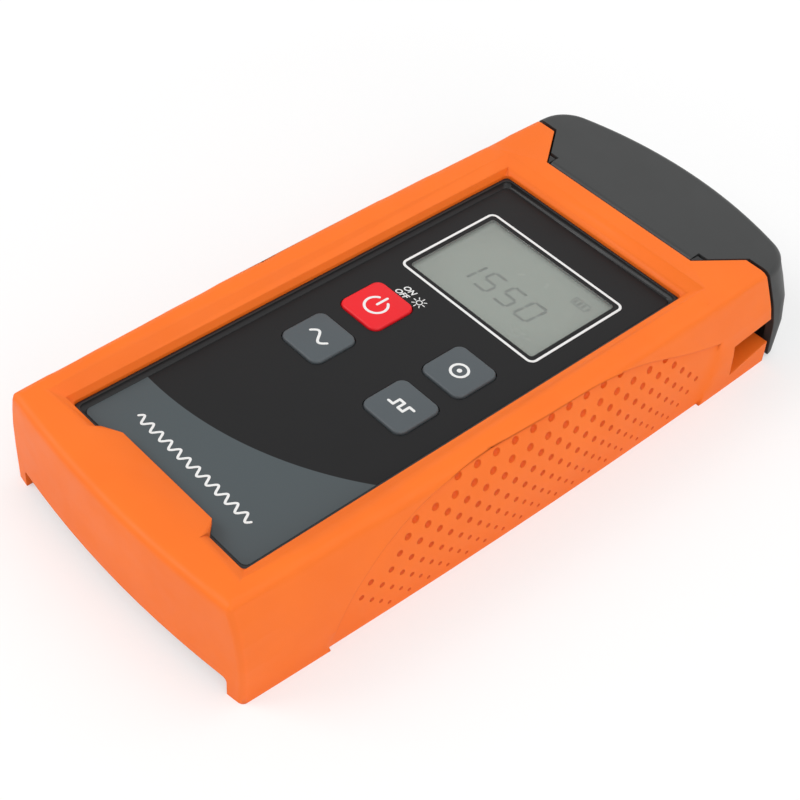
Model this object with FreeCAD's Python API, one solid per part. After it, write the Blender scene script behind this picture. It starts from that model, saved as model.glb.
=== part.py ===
import FreeCAD
import Part
import math
import os

V = FreeCAD.Vector

# Handheld optical light source. Millimetres.
# The origin is on the resting plane, under the middle of the case.
# X runs to the right, Y towards the output end, Z up out of the display.

# Battery cells, which set the width and the height of everything round them
cell_count = 3
cell_r = 7.05
cell_length = 48.0
cell_side_gap = 0.5
cell_floor_gap = 0.4
cell_nub_r = 2.6
cell_nub_length = 1.2
cell_pitch = 2 * cell_r + cell_side_gap

# Case halves inside the boot
wall = 2.0
fit_gap = 0.1
case_half = cell_count * cell_pitch / 2 + 11.1
case_near_y = -83.2
case_far_y = 75.5
case_corner_r = 5.0
boot_lip = 1.6
case_floor_z = boot_lip + fit_gap
floor_thick = 1.8
base_chamfer = 2.4
cell_near_y = case_near_y + wall + 4.6
cell_far_y = cell_near_y + cell_length

# Overall form
form_height = 2 * cell_r + 13.9
near_end_y = case_near_y - 4.05
far_end_y = case_far_y + 11.75
end_bulge = 3.0
rim_round = 2.0
near_corner_r = 1.4
least_corner_r = 0.4

# Sides of the form: heights as shares of the whole, then how far each level stands out from the case
flare_shares = (0.0, 0.357, 0.607, 0.786)
flare_heights = tuple(share * form_height for share in flare_shares) + (form_height - rim_round,)
near_walls = (5.7, 5.6, 5.0, 4.1, 3.0)
middle_walls = (7.9, 7.7, 7.0, 5.95, 4.9)
far_walls = (7.2, 7.0, 6.3, 5.3, 4.5)
near_setback = (0.6, 0.4, 0.2, 0.1, 0.0)
far_setback = (1.0, 0.0, 0.0, 0.2, 0.9)
tip_bulge = (5.2, 5.4, 5.9, 6.6, 7.0)
far_corner_r = (5.0, 5.0, 5.8, 8.0, 9.5)
rim_angles = (30.0, 60.0, 90.0)
side_near_y = case_near_y - 0.8
side_far_y = case_far_y - 2.5

# Control panel
panel_half = case_half - 6.5
panel_near_y = case_near_y + 9.6
panel_far_y = case_far_y - 25.5
panel_corner_r = 1.5
panel_thick = 0.8
panel_side_gap = 0.15
panel_sink = 1.2
shelf_thick = 1.5

# Window over the control panel
window_gap = 1.8
window_end_gap = 1.6
window_half = panel_half + window_gap
window_near_y = panel_near_y - window_end_gap
window_far_y = panel_far_y + window_end_gap
window_edge_z = form_height - 3.2
window_corner_r = 1.2
bevel_width = 3.2
bevel_break = 0.8
bevel_break_z = window_edge_z + 1.5
tongue_base_half = window_half - 10.6
tongue_tip_half = tongue_base_half - 3.1
tongue_root_spread = 1.0
tongue_reach = 3.0
tongue_tip_drop = 0.5
tongue_gap = 0.3

# Heights under the window
frame_top_z = window_edge_z - 0.7
frame_gap = 0.15
frame_step_width = 0.9
frame_step_drop = 0.4
case_top_z = frame_top_z - 0.7
panel_top_z = frame_top_z - panel_sink
panel_seat_z = panel_top_z - panel_thick
split_z = case_top_z - 9.9
split_gap = 0.1

# Grip areas on both sides: points of the upper line as shares of its length and of the height
grip_depth = 0.9
grip_near_y = case_near_y + 21.2
grip_far_y = window_far_y + 2.9
grip_line = ((0.0, -0.036), (0.069, 0.571), (0.189, 0.879), (0.515, 0.979), (0.751, 0.921), (0.88, 0.75))
grip_seam_top = 0.607
grip_seam_middle = 0.321
grip_seam_bow = 0.9
grip_seam_lean = 4.5

# Far edge of the boot, its ears and the finger notches
boot_far_y = window_far_y + 8.0
boot_far_half = case_half - 9.8
ear_slope = 0.73
edge_shares = (1.0214, 0.6786, 0.4286, 0.1071, -0.0357)
ear_setback = (17.15, 14.45, 12.85, 12.45, 12.45)
notch_rear_y = boot_far_y + 1.4
notch_end_y = boot_far_y + 16.4
notch_rear_lean = 0.6
notch_top_z = split_z - 0.7
notch_top_rise = 0.9
notch_floor_rear_z = 3.6
notch_floor_tip_z = 6.6
boot_open_half = case_half - 2.0
boot_open_near_y = case_near_y + 3.6
boot_open_far_y = boot_far_y - 1.6
arch_half = case_half + 1.6
arch_height = 5.0
arch_round = 1.2

# Display
view_half = panel_half - 6.9
view_length = 26.9
view_far_y = panel_far_y - 11.5
view_near_y = view_far_y - view_length
view_corner_r = 0.8
lens_gap = 0.1
lens_thick = 0.7
glass_margin = 1.6
glass_lip = 0.6
glass_gap = 0.1
light_gap = 0.02
glass_thick = 1.05
holder_wall = 1.4
holder_gap = 0.15

# Keys
key_size = 12.5
key_corner_r = 2.2
key_rise = 0.6
key_edge_break = 0.3
key_side_gap = 0.25
flange_grow = 0.7
flange_thick = 0.5
flange_gap = 0.05
flange_side_gap = 0.3
stem_half = 2.8
stem_length = 0.65
key_x = panel_half - 13.1
key_far_row_y = view_near_y - 15.95
key_near_row_y = key_far_row_y - 17.0
key_places = {
    "power_key": (-key_x, key_far_row_y),
    "wavelength_key": (-key_x, key_near_row_y),
    "identify_key": (key_x, key_far_row_y),
    "modulation_key": (key_x, key_near_row_y),
}

# Main board
board_half = case_half - 6.0
board_near_y = cell_far_y - 2.4
board_far_y = window_far_y - 5.6
board_thick = 1.2
board_notch_gap = 0.3
board_top_z = panel_top_z - 3.0
board_screw_inset = 2.4
mat_half_x = board_half - 4.6
mat_near_y = key_near_row_y - 8.3
mat_far_y = key_far_row_y + 8.4
mat_thick = 0.65
well_half = 4.6
dome_r = 3.8
dome_crown_r = 2.2
dome_thick = 0.35

# Chips under the board: place across and along it as shares, then width, depth and height
chips = (
    (-0.44, 0.43, 10.0, 10.0, 1.4),
    (0.3, 0.325, 7.0, 5.0, 1.6),
    (0.44, 0.585, 5.0, 6.4, 1.5),
    (-0.52, 0.715, 4.0, 4.0, 1.8),
    (0.15, 0.79, 6.0, 3.0, 1.1),
)
capacitor_count = 4
capacitor_r = 2.0
capacitor_height = 3.4
capacitor_pitch = 6.5
capacitor_x = -0.74 * board_half
capacitor_near_y = board_near_y + 21.0

# Battery bay
door_half = case_half - 7.8
door_thick = 1.6
door_near_y = case_near_y + 3.8
door_far_y = cell_far_y + 7.3
door_gap = 0.3
door_drop = 0.1
door_bead_r = 0.8
thumb_r = 9.0
thumb_depth = 0.6
thumb_inset = 6.5
thumb_rib_count = 3
thumb_rib_half = 5.0
thumb_rib_width = 0.9
thumb_rib_pitch = 3.0
bay_wall = 1.4
contact_room = 2.0
contact_thick = 0.4
contact_width = 9.0
contact_height = 9.0
spring_r = 2.8
spring_wire = 0.5
spring_gap = 0.04

# Screws
case_screw_x = case_half - 4.8
case_screw_ys = (cell_far_y + 13.6, boot_far_y - 5.6)
screw_shank_r = 1.2
screw_head_r = 2.3
screw_head_thick = 1.6
screw_head_sink = 0.2
screw_tip_gap = 0.3
boss_r = 3.2
board_screw_r = 0.9
board_head_r = 1.8
board_head_thick = 1.2
hole_gap = 0.05
shank_slack = 0.02

# Output end
plate_half = case_half - 4.0
plate_low_z = case_floor_z + 2.5
plate_high_z = case_top_z - 1.8
plate_lap = 2.0
plate_thick = 1.6
port_z = (plate_low_z + plate_high_z) / 2 + 0.7
port_barrel_r = 4.0
port_barrel_length = 7.9
port_mouth_r = 3.05
port_mouth_depth = 5.2
port_flange = 13.0
port_flange_thick = 1.6
port_flange_corner = 1.6
port_rear_length = 6.0
port_slot_half = 1.0
port_slot_length = 2.4
sleeve_r = 1.6
sleeve_bore_r = 1.25
sleeve_length = 7.2
sleeve_sink = 0.8
sleeve_holder_r = 2.2
port_screw_offset = 4.9
port_screw_r = 0.8
port_screw_head_r = 1.5
port_screw_head_thick = 0.9
nut_r = 5.4
nut_length = 6.5
nut_gap = 0.3
ferrule_gap = 0.02
relief_length = 6.0
relief_r = 2.2
relief_break = 1.0

# Laser and its fibre
laser_x = case_half - 14.0
laser_z = case_floor_z + floor_thick + 5.1
laser_near_y = board_far_y - 16.0
laser_block_width = 13.0
laser_block_length = 16.0
laser_block_top = 5.2
laser_groove_count = 4
laser_groove_width = 1.6
laser_groove_pitch = 3.4
laser_groove_inset = 2.0
laser_can_r = 2.9
laser_can_length = 21.0
laser_can_past = 1.5
laser_nose_r = 1.5
laser_nose_length = 5.0
laser_leg_r = 0.3
laser_leg_length = 4.1
laser_leg_places = ((1.2, 1.2), (-1.2, 1.2), (0.0, -1.4))
fibre_r = 0.5
fibre_near_y = cell_far_y + 13.1
fibre_side_y = fibre_near_y + 17.5
fibre_near_half = 8.0
fibre_return_x = laser_x - 3.0
fibre_return_drop = 6.0
fibre_last_x = 2.0
fibre_last_past = 11.0
fibre_rise = 0.8
fibre_return_rise = 2.4
fibre_end_drop = 0.4
bend_share = 0.45

# Dust cover
cover_gap = 0.5
cover_setback = (16.15, 13.45, 11.75, 10.95, 10.45)
cover_wall = 2.2
cover_foot_z = 1.0
hinge_drop = 1.3
hinge_half = boot_far_half - 0.6
hinge_pin_r = 0.6
hinge_pin_hold = 6.0
hinge_pin_past = 1.1
hinge_pin_fit = 0.01
hinge_run_gap = 0.05
hinge_lug_reach = 0.45
hinge_lug_past = 1.0
hinge_lug_drop = 0.15
hinge_end_gap = 0.3
hinge_cover_past = 1.85

# How far cutting tools run past what they cut
over = 1.0


def box(x0, x1, y0, y1, z0, z1):
    return Part.makeBox(x1 - x0, y1 - y0, z1 - z0, V(x0, y0, z0))


def cylinder_y(x, y0, y1, z, r):
    return Part.makeCylinder(r, y1 - y0, V(x, y0, z), V(0, 1, 0))


def cylinder_x(x0, x1, y, z, r):
    return Part.makeCylinder(r, x1 - x0, V(x0, y, z), V(1, 0, 0))


def polygon_prism(points, direction):
    wire = Part.makePolygon(points + [points[0]])
    return Part.Face(wire).extrude(direction)


def rounded_box(x0, x1, y0, y1, z0, z1, r):
    """A box with its four upright edges rounded."""
    solid = box(x0, x1, y0, y1, z0, z1)
    upright = [e for e in solid.Edges if abs(e.tangentAt(e.FirstParameter).z) > 0.9]
    return solid.makeFillet(r, upright)


def even_polygon(x, y, z, r, sides, axis):
    """Closed outline of equal sides round a centre, square to the Y or the Z axis."""
    points = []
    for i in range(sides + 1):
        turn = math.pi * (2 * i + 1) / sides
        if axis == "y":
            points.append(V(x + r * math.cos(turn), y, z + r * math.sin(turn)))
        else:
            points.append(V(x + r * math.cos(turn), y + r * math.sin(turn), z))
    return Part.makePolygon(points)


def even_prism(x, y, z, r, sides, axis, length):
    along = V(0, length, 0) if axis == "y" else V(0, 0, length)
    return Part.Face(even_polygon(x, y, z, r, sides, axis)).extrude(along)


def mirrored(shape):
    return shape.mirror(V(0, 0, 0), V(1, 0, 0))


def joined(shapes):
    result = shapes[0]
    for other in shapes[1:]:
        result = result.fuse(other)
    return result.removeSplitter()


def grouped(shapes):
    return Part.makeCompound(shapes)


def circle_through(a, b, c):
    """Centre and radius of the circle through three plan points."""
    ax, ay = a
    bx, by = b
    cx, cy = c
    d = 2 * (ax * (by - cy) + bx * (cy - ay) + cx * (ay - by))
    a2 = ax * ax + ay * ay
    b2 = bx * bx + by * by
    c2 = cx * cx + cy * cy
    ux = (a2 * (by - cy) + b2 * (cy - ay) + c2 * (ay - by)) / d
    uy = (a2 * (cx - bx) + b2 * (ax - cx) + c2 * (bx - ax)) / d
    return (ux, uy), math.hypot(ax - ux, ay - uy)


def corner_centre(side, end, r, near):
    """Centre of the arc of radius r that lies inside both circles and touches them."""
    (sx, sy), sr = side
    (ex, ey), er = end
    r1 = sr - r
    r2 = er - r
    d = math.hypot(ex - sx, ey - sy)
    along = (r1 * r1 - r2 * r2 + d * d) / (2 * d)
    across = math.sqrt(r1 * r1 - along * along)
    ux = (ex - sx) / d
    uy = (ey - sy) / d
    mx = sx + along * ux
    my = sy + along * uy
    first = (mx - across * uy, my + across * ux)
    second = (mx + across * uy, my - across * ux)
    return min((first, second), key=lambda p: math.hypot(p[0] - near[0], p[1] - near[1]))


def touch_point(circle, centre):
    """Point of the circle that lies in the direction of the centre of a corner arc."""
    (cx, cy), cr = circle
    d = math.hypot(centre[0] - cx, centre[1] - cy)
    return (cx + cr * (centre[0] - cx) / d, cy + cr * (centre[1] - cy) / d)


def corner_mid(centre, r, a, b):
    """Middle of a corner arc between its two touch points."""
    mx = (a[0] + b[0]) / 2 - centre[0]
    my = (a[1] + b[1]) / 2 - centre[1]
    d = math.hypot(mx, my)
    return (centre[0] + r * mx / d, centre[1] + r * my / d)


def plan_outline(z, level, inset):
    """Plan outline of the outer form at one height, drawn with eight arcs."""
    xn = case_half + near_walls[level] - inset
    xf = case_half + far_walls[level] - inset
    side = circle_through((xn, side_near_y), (case_half + middle_walls[level] - inset, 0.0), (xf, side_far_y))
    y0 = near_end_y + near_setback[level] + inset
    y1 = far_end_y - far_setback[level] - inset
    bulge = tip_bulge[level]
    wide = case_half + near_walls[0]
    tip = case_half + far_walls[-1]
    near = circle_through((-wide, y0 + end_bulge), (0.0, y0), (wide, y0 + end_bulge))
    far = circle_through((-tip, y1 - bulge), (0.0, y1), (tip, y1 - bulge))
    rn = max(near_corner_r - inset, least_corner_r)
    rf = max(far_corner_r[level] - inset, least_corner_r)
    cn = corner_centre(side, near, rn, (xn, side_near_y))
    cf = corner_centre(side, far, rf, (xf, side_far_y))
    n1 = touch_point(near, cn)
    n2 = touch_point(side, cn)
    f1 = touch_point(side, cf)
    f2 = touch_point(far, cf)
    nm = corner_mid(cn, rn, n1, n2)
    fm = corner_mid(cf, rf, f1, f2)
    sm = (side[0][0] + side[1], side[0][1])

    def at(p, sign=1):
        return V(sign * p[0], p[1], z)

    arcs = [
        (at(n1, -1), V(0, y0, z), at(n1)),
        (at(n1), at(nm), at(n2)),
        (at(n2), at(sm), at(f1)),
        (at(f1), at(fm), at(f2)),
        (at(f2), V(0, y1, z), at(f2, -1)),
        (at(f2, -1), at(fm, -1), at(f1, -1)),
        (at(f1, -1), at(sm, -1), at(n2, -1)),
        (at(n2, -1), at(nm, -1), at(n1, -1)),
    ]
    return Part.Wire([Part.Arc(a, b, c).toShape() for a, b, c in arcs])


def form_outlines(inset):
    """Outlines up the flared side, then round the rim to the flat top."""
    wires = [plan_outline(z, i, inset) for i, z in enumerate(flare_heights)]
    last = len(flare_heights) - 1
    for angle in rim_angles:
        turn = math.radians(angle)
        z = flare_heights[last] + rim_round * math.sin(turn)
        wires.append(plan_outline(z, last, inset + rim_round * (1.0 - math.cos(turn))))
    return wires


def outer_form(inset=0.0):
    """The whole closed shape of the boot and the dust cover together."""
    return Part.makeLoft(form_outlines(inset), True, True)


def window_points(z, grow=0.0):
    return [
        V(-window_half - grow, window_near_y - grow, z),
        V(window_half + grow, window_near_y - grow, z),
        V(window_half + grow, window_far_y + grow, z),
        V(-window_half - grow, window_far_y + grow, z),
    ]


def window_ring(z, grow):
    points = window_points(z, grow)
    return Part.makePolygon(points + points[:1])


def window_cutter():
    """Upright walls below the window's edge, and the two slopes of the bevel above it."""
    well = rounded_box(-window_half, window_half, window_near_y, window_far_y,
                       case_floor_z, window_edge_z, window_corner_r)
    spread = bevel_width + over * (bevel_width - bevel_break) / (form_height - bevel_break_z)
    rings = [window_ring(window_edge_z, 0.0), window_ring(bevel_break_z, bevel_break),
             window_ring(form_height + over, spread)]
    return well.fuse(Part.makeLoft(rings, True, True))


def tongue():
    """The flat tab of the boot that reaches in over the near end of the panel."""
    root_y = window_near_y - bevel_width
    tip_y = window_near_y + tongue_reach
    low = case_top_z + fit_gap
    points = [
        V(-tongue_base_half - tongue_root_spread, root_y, low),
        V(tongue_base_half + tongue_root_spread, root_y, low),
        V(tongue_base_half, window_near_y, low),
        V(tongue_tip_half, tip_y, low),
        V(-tongue_tip_half, tip_y, low),
        V(-tongue_base_half, window_near_y, low),
    ]
    tab = polygon_prism(points, V(0, 0, form_height))
    slope = polygon_prism([
        V(-window_half, root_y, low - over),
        V(-window_half, root_y, form_height),
        V(-window_half, tip_y, window_edge_z + tongue_tip_drop),
        V(-window_half, tip_y, low - over),
    ], V(2 * window_half, 0, 0))
    return tab.common(slope)


def grip_prism():
    """Side view of one grip area, drawn out sideways."""
    x = case_half - wall
    length = grip_far_y - grip_near_y
    line = [V(x, grip_near_y + along * length, up * form_height) for along, up in grip_line]
    top_corner = V(x, grip_far_y, grip_seam_top * form_height)
    seam_middle = V(x, grip_far_y - grip_seam_bow, grip_seam_middle * form_height)
    foot = V(x, grip_far_y - grip_seam_lean, line[0].z)
    top = Part.BSplineCurve()
    top.interpolate(line + [top_corner])
    seam = Part.Arc(top_corner, seam_middle, foot)
    base = Part.LineSegment(foot, line[0])
    wire = Part.Wire([top.toShape(), seam.toShape(), base.toShape()])
    return Part.Face(wire).extrude(V(case_half / 2, 0, 0))


def edge_prism(setbacks, limit):
    """Everything between a leaning edge seen from the side and a limit along the form."""
    reach = 2 * case_half
    points = [V(-reach, far_end_y - back, share * form_height) for share, back in zip(edge_shares, setbacks)]
    points.append(V(-reach, limit, points[-1].z))
    points.append(V(-reach, limit, points[0].z))
    return polygon_prism(points, V(2 * reach, 0, 0))


def between_ears(gap):
    """Plan area that lies between the two ears, from the boot's far edge outwards."""
    slant = gap * math.hypot(1.0, ear_slope)
    y0 = boot_far_y + gap
    y1 = far_end_y + over
    x0 = boot_far_half - slant + ear_slope * gap
    x1 = x0 + ear_slope * (y1 - y0)
    points = [V(-x0, y0, -over), V(x0, y0, -over), V(x1, y1, -over), V(-x1, y1, -over)]
    return polygon_prism(points, V(0, 0, form_height + 2 * over))


def case_prism(z0, z1, grow=0.0, y_far=case_far_y):
    return rounded_box(-case_half - grow, case_half + grow, case_near_y - grow, y_far + grow,
                       z0, z1, case_corner_r + grow)


def notch_cutter():
    """Finger notch through the side of the boot beside the dust cover."""
    x = case_half - over
    points = [
        V(x, notch_rear_y, notch_floor_rear_z),
        V(x, notch_rear_y - notch_rear_lean, notch_top_z),
        V(x, notch_end_y, notch_top_z + notch_top_rise),
        V(x, notch_end_y, notch_floor_tip_z),
    ]
    return polygon_prism(points, V(case_half / 3, 0, 0))


def end_arch():
    """Opening under the near end wall, between the two feet."""
    arch = box(-arch_half, arch_half, near_end_y - over, boot_open_near_y, -arch_height, arch_height)
    upper = [e for e in arch.Edges if abs(e.tangentAt(e.FirstParameter).y) > 0.9 and e.BoundBox.ZMin > 0]
    return arch.makeFillet(arch_round, upper)


def protective_boot():
    form = outer_form()
    inner = outer_form(grip_depth)
    for side in (grip_prism(), mirrored(grip_prism())):
        form = form.cut(side.cut(inner))
    boot = form.common(edge_prism(ear_setback, near_end_y - over)).cut(between_ears(0.0))
    boot = boot.cut(case_prism(case_floor_z, case_top_z + fit_gap, fit_gap, far_end_y + over))
    boot = boot.cut(window_cutter())
    boot = boot.fuse(tongue())
    boot = boot.cut(rounded_box(-boot_open_half, boot_open_half, boot_open_near_y, boot_open_far_y,
                                -over, case_floor_z + over, case_corner_r))
    boot = boot.cut(end_arch())
    for notch in (notch_cutter(), mirrored(notch_cutter())):
        boot = boot.cut(notch)
    tail = box(-case_half - fit_gap, case_half + fit_gap, boot_far_y, far_end_y + over, -over, case_floor_z)
    return boot.cut(tail).removeSplitter()


def key_square(name, z0, z1, grow=0.0):
    x, y = key_places[name]
    half = key_size / 2 + grow
    return rounded_box(x - half, x + half, y - half, y + half, z0, z1, key_corner_r + grow)


def key_room(name, z0, z1, grow):
    """Square-cornered space round a key."""
    x, y = key_places[name]
    half = key_size / 2 + grow
    return box(x - half, x + half, y - half, y + half, z0, z1)


def view_room(z0, z1, grow):
    """Square-cornered space round the display's view."""
    return box(-view_half - grow, view_half + grow, view_near_y - grow, view_far_y + grow, z0, z1)


def view_area(z0, z1, grow=0.0):
    return rounded_box(-view_half - grow, view_half + grow, view_near_y - grow, view_far_y + grow,
                       z0, z1, view_corner_r + max(grow, 0.0))


def at_case_screws():
    return [(x, y) for x in (-case_screw_x, case_screw_x) for y in case_screw_ys]


def at_board_screws():
    x = board_half - board_screw_inset
    ys = (board_near_y + board_screw_inset, board_far_y - board_screw_inset)
    return [(sign * x, y) for sign in (-1, 1) for y in ys]


def front_housing():
    low = split_z + split_gap
    ceiling = panel_seat_z - shelf_thick
    shell = case_prism(low, case_top_z)
    shell = shell.cut(case_prism(low - over, ceiling, -wall))
    rim = rounded_box(-window_half + frame_gap, window_half - frame_gap, window_near_y + frame_gap,
                      window_far_y - frame_gap, panel_seat_z, frame_top_z, window_corner_r)
    tab_half = tongue_base_half + tongue_root_spread + tongue_gap
    rim = rim.cut(box(-tab_half, tab_half, window_near_y - over, window_near_y + tongue_reach + tongue_gap,
                      case_top_z, frame_top_z + over))
    shell = shell.fuse(rim)
    shell = shell.cut(panel_area(panel_seat_z, frame_top_z + over, panel_side_gap))
    shell = shell.cut(panel_area(case_top_z - frame_step_drop, frame_top_z + over, frame_step_width))
    for name in key_places:
        shell = shell.cut(key_room(name, ceiling - over, panel_seat_z + over, flange_grow + flange_side_gap))
    holder_room = glass_margin + holder_wall + 2 * holder_gap
    shell = shell.cut(view_room(ceiling - over, panel_seat_z + over, holder_room))
    rise = ceiling + shelf_thick / 4
    posts = [even_prism(x, y, low, boss_r, 8, "z", rise - low) for x, y in at_case_screws()]
    posts += [even_prism(x, y, board_top_z, board_head_r, 8, "z", rise - board_top_z)
              for x, y in at_board_screws()]
    shell = joined([shell] + posts)
    deep = panel_seat_z - shelf_thick / 2
    holes = [even_prism(x, y, low - over, screw_shank_r, 8, "z", deep - low + over)
             for x, y in at_case_screws()]
    holes += [even_prism(x, y, board_top_z - over, board_screw_r, 8, "z", deep - board_top_z + over)
              for x, y in at_board_screws()]
    shell = shell.cut(grouped(holes))
    shell = shell.cut(end_opening())
    return joined([shell] + hinge_lugs())


def panel_area(z0, z1, grow):
    return rounded_box(-panel_half - grow, panel_half + grow, panel_near_y - grow, panel_far_y + grow,
                       z0, z1, panel_corner_r)


def end_opening():
    """Opening in the case's end wall for the plate that carries the port, and the plate's slot."""
    half = plate_half - plate_lap
    through = box(-half, half, case_far_y - wall - over, case_far_y + over, plate_low_z + plate_lap,
                  plate_high_z - plate_lap)
    slot = box(-plate_half - hole_gap, plate_half + hole_gap, case_far_y - plate_thick - hole_gap,
               case_far_y + over, plate_low_z - hole_gap, plate_high_z + hole_gap)
    return through.fuse(slot)


def hinge_y():
    return boot_far_y + cover_gap + hinge_drop


def hinge_z():
    return form_height - hinge_drop


def hinge_lugs():
    """Two posts in the corners of the boot's far edge, which hold the hinge pins."""
    y0 = boot_far_y + hinge_end_gap
    y1 = hinge_y() + hinge_lug_past
    inner = hinge_half + hinge_end_gap
    low = case_top_z - wall / 2
    lugs = []
    for sign in (1, -1):
        outer = boot_far_half - hinge_lug_reach
        points = [
            V(sign * inner, y0, low),
            V(sign * (outer + ear_slope * hinge_end_gap), y0, low),
            V(sign * (outer + ear_slope * (y1 - boot_far_y)), y1, low),
            V(sign * inner, y1, low),
        ]
        lug = polygon_prism(points, V(0, 0, form_height - hinge_lug_drop - low))
        pin_hole = cylinder_x(-boot_far_half - over, boot_far_half + over, hinge_y(), hinge_z(),
                              hinge_pin_r + hinge_pin_fit)
        lugs.append(lug.cut(pin_hole))
    return lugs


def rear_housing():
    shell = case_prism(case_floor_z, split_z)
    edges = [e for e in shell.Edges if e.BoundBox.ZMax < split_z / 2]
    shell = shell.makeChamfer(base_chamfer, edges)
    hollow = case_prism(case_floor_z + floor_thick, split_z + over, -wall)
    shell = shell.cut(hollow)
    bay_half = cell_count * cell_pitch / 2 + bay_wall
    _, bay_far = contact_ys()
    high = split_z - split_gap
    low = case_floor_z + floor_thick / 2
    ribs = [box(-bay_half, bay_half, bay_far, bay_far + bay_wall, low, high)]
    for sign in (1, -1):
        x = sign * (bay_half - bay_wall / 2)
        ribs.append(box(x - bay_wall / 2, x + bay_wall / 2, case_near_y + wall / 2, bay_far + bay_wall / 2,
                        low, high))
    posts = [even_prism(x, y, low, boss_r, 8, "z", high - low) for x, y in at_case_screws()]
    shell = joined([shell] + ribs + posts)
    door_hole = box(-door_half - door_gap, door_half + door_gap, door_near_y - door_bead_r - door_gap,
                    door_far_y + door_gap, case_floor_z - over, case_floor_z + floor_thick + door_gap)
    shell = shell.cut(door_hole)
    holes = []
    for x, y in at_case_screws():
        holes.append(even_prism(x, y, case_floor_z - over, screw_shank_r + hole_gap, 8, "z", split_z))
        holes.append(even_prism(x, y, case_floor_z - over, screw_head_r + hole_gap, 8, "z",
                                screw_head_sink + screw_head_thick + over))
    shell = shell.cut(grouped(holes))
    return shell.cut(end_opening()).removeSplitter()


def front_panel():
    plate = rounded_box(-panel_half, panel_half, panel_near_y, panel_far_y, panel_seat_z, panel_top_z,
                        panel_corner_r)
    for name in key_places:
        plate = plate.cut(key_square(name, panel_seat_z - over, panel_top_z + over, key_side_gap))
    return plate.cut(view_area(panel_seat_z - over, panel_top_z + over, lens_gap))


def display_window():
    return view_area(panel_top_z - lens_thick, panel_top_z)


def lcd_stack_z():
    glass_top = panel_seat_z - glass_gap
    glass_low = glass_top - glass_thick
    return glass_top, glass_low


def lcd_glass():
    top, low = lcd_stack_z()
    middle = low + glass_thick / 2
    return view_room(low, middle, glass_margin).fuse(view_room(middle, top, glass_margin - glass_lip))


def lcd_backlight():
    _, low = lcd_stack_z()
    return view_room(board_top_z, low - light_gap, glass_margin - glass_gap)


def lcd_holder():
    top, _ = lcd_stack_z()
    inside = glass_margin + holder_gap
    ring = view_room(board_top_z, top, inside + holder_wall)
    return ring.cut(view_room(board_top_z - over, top + over, inside))


def key(name):
    flange_top = panel_seat_z - flange_gap
    flange_low = flange_top - flange_thick
    cap = key_square(name, flange_low, panel_top_z + key_rise)
    rim = [e for e in cap.Edges if e.BoundBox.ZMin > panel_top_z]
    cap = cap.makeChamfer(key_edge_break, rim)
    x, y = key_places[name]
    flange = key_room(name, flange_low, flange_top, flange_grow)
    stem = box(x - stem_half, x + stem_half, y - stem_half, y + stem_half, flange_low - stem_length,
               flange_low + flange_thick / 2)
    return joined([cap, flange, stem])


def keypad_mat():
    mat = box(-mat_half_x, mat_half_x, mat_near_y, mat_far_y, board_top_z, board_top_z + mat_thick)
    for x, y in key_places.values():
        mat = mat.cut(box(x - well_half, x + well_half, y - well_half, y + well_half,
                          board_top_z - over, board_top_z + mat_thick + over))
    return mat


def contact_domes():
    domes = []
    for x, y in key_places.values():
        foot = even_prism(x, y, board_top_z, dome_r, 8, "z", dome_thick / 2)
        crown = even_prism(x, y, board_top_z, dome_crown_r, 8, "z", dome_thick)
        domes.append(foot.fuse(crown))
    return grouped(domes)


def main_board():
    low = board_top_z - board_thick
    board = box(-board_half, board_half, board_near_y, board_far_y, low, board_top_z)
    through = board_thick + 2 * over
    for x, y in at_board_screws():
        board = board.cut(even_prism(x, y, low - over, board_screw_r + hole_gap, 8, "z", through))
    reach = boss_r + board_notch_gap
    for x, y in at_case_screws():
        board = board.cut(box(x - reach, x + reach, y - reach, y + reach, low - over, board_top_z + over))
    return board


def board_chips():
    """Controller, laser driver, regulator and the parts around them, under the board."""
    top = board_top_z - board_thick
    pieces = []
    for across, along, width, depth, height in chips:
        x = across * board_half
        y = board_near_y + along * (board_far_y - board_near_y)
        pieces.append(box(x - width / 2, x + width / 2, y - depth / 2, y + depth / 2, top - height, top))
    low = top - capacitor_height
    for i in range(capacitor_count):
        y = capacitor_near_y + capacitor_pitch * i
        pieces.append(even_prism(capacitor_x, y, low, capacitor_r, 12, "z", capacitor_height))
    return grouped(pieces)


def screw_z(x, y, z, head_r, head_thick, shank_r, top):
    """An upright screw with its head down."""
    head = even_prism(x, y, z, head_r, 8, "z", head_thick)
    shank = even_prism(x, y, z + head_thick / 2, shank_r - shank_slack, 8, "z", top - z - head_thick / 2)
    return head.fuse(shank)


def board_screws():
    low = board_top_z - board_thick - board_head_thick
    top = panel_seat_z - shelf_thick / 2 - screw_tip_gap
    return grouped([screw_z(x, y, low, board_head_r, board_head_thick, board_screw_r, top)
                    for x, y in at_board_screws()])


def case_screws():
    low = case_floor_z + screw_head_sink
    top = panel_seat_z - shelf_thick - screw_tip_gap
    return grouped([screw_z(x, y, low, screw_head_r, screw_head_thick, screw_shank_r, top)
                    for x, y in at_case_screws()])


def cell_axis(i):
    x = (i - (cell_count - 1) / 2) * cell_pitch
    z = case_floor_z + door_thick + cell_floor_gap + cell_r
    return x, z


def battery_cell(i):
    x, z = cell_axis(i)
    can = even_prism(x, cell_near_y, z, cell_r, 24, "y", cell_length)
    nub_y = cell_far_y - over if i % 2 == 0 else cell_near_y - cell_nub_length
    nub = even_prism(x, nub_y, z, cell_nub_r, 12, "y", cell_nub_length + over)
    return can.fuse(nub)


def contact_ys():
    near = case_near_y + wall
    far = cell_far_y + cell_nub_length + contact_room
    return near, far


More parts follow.
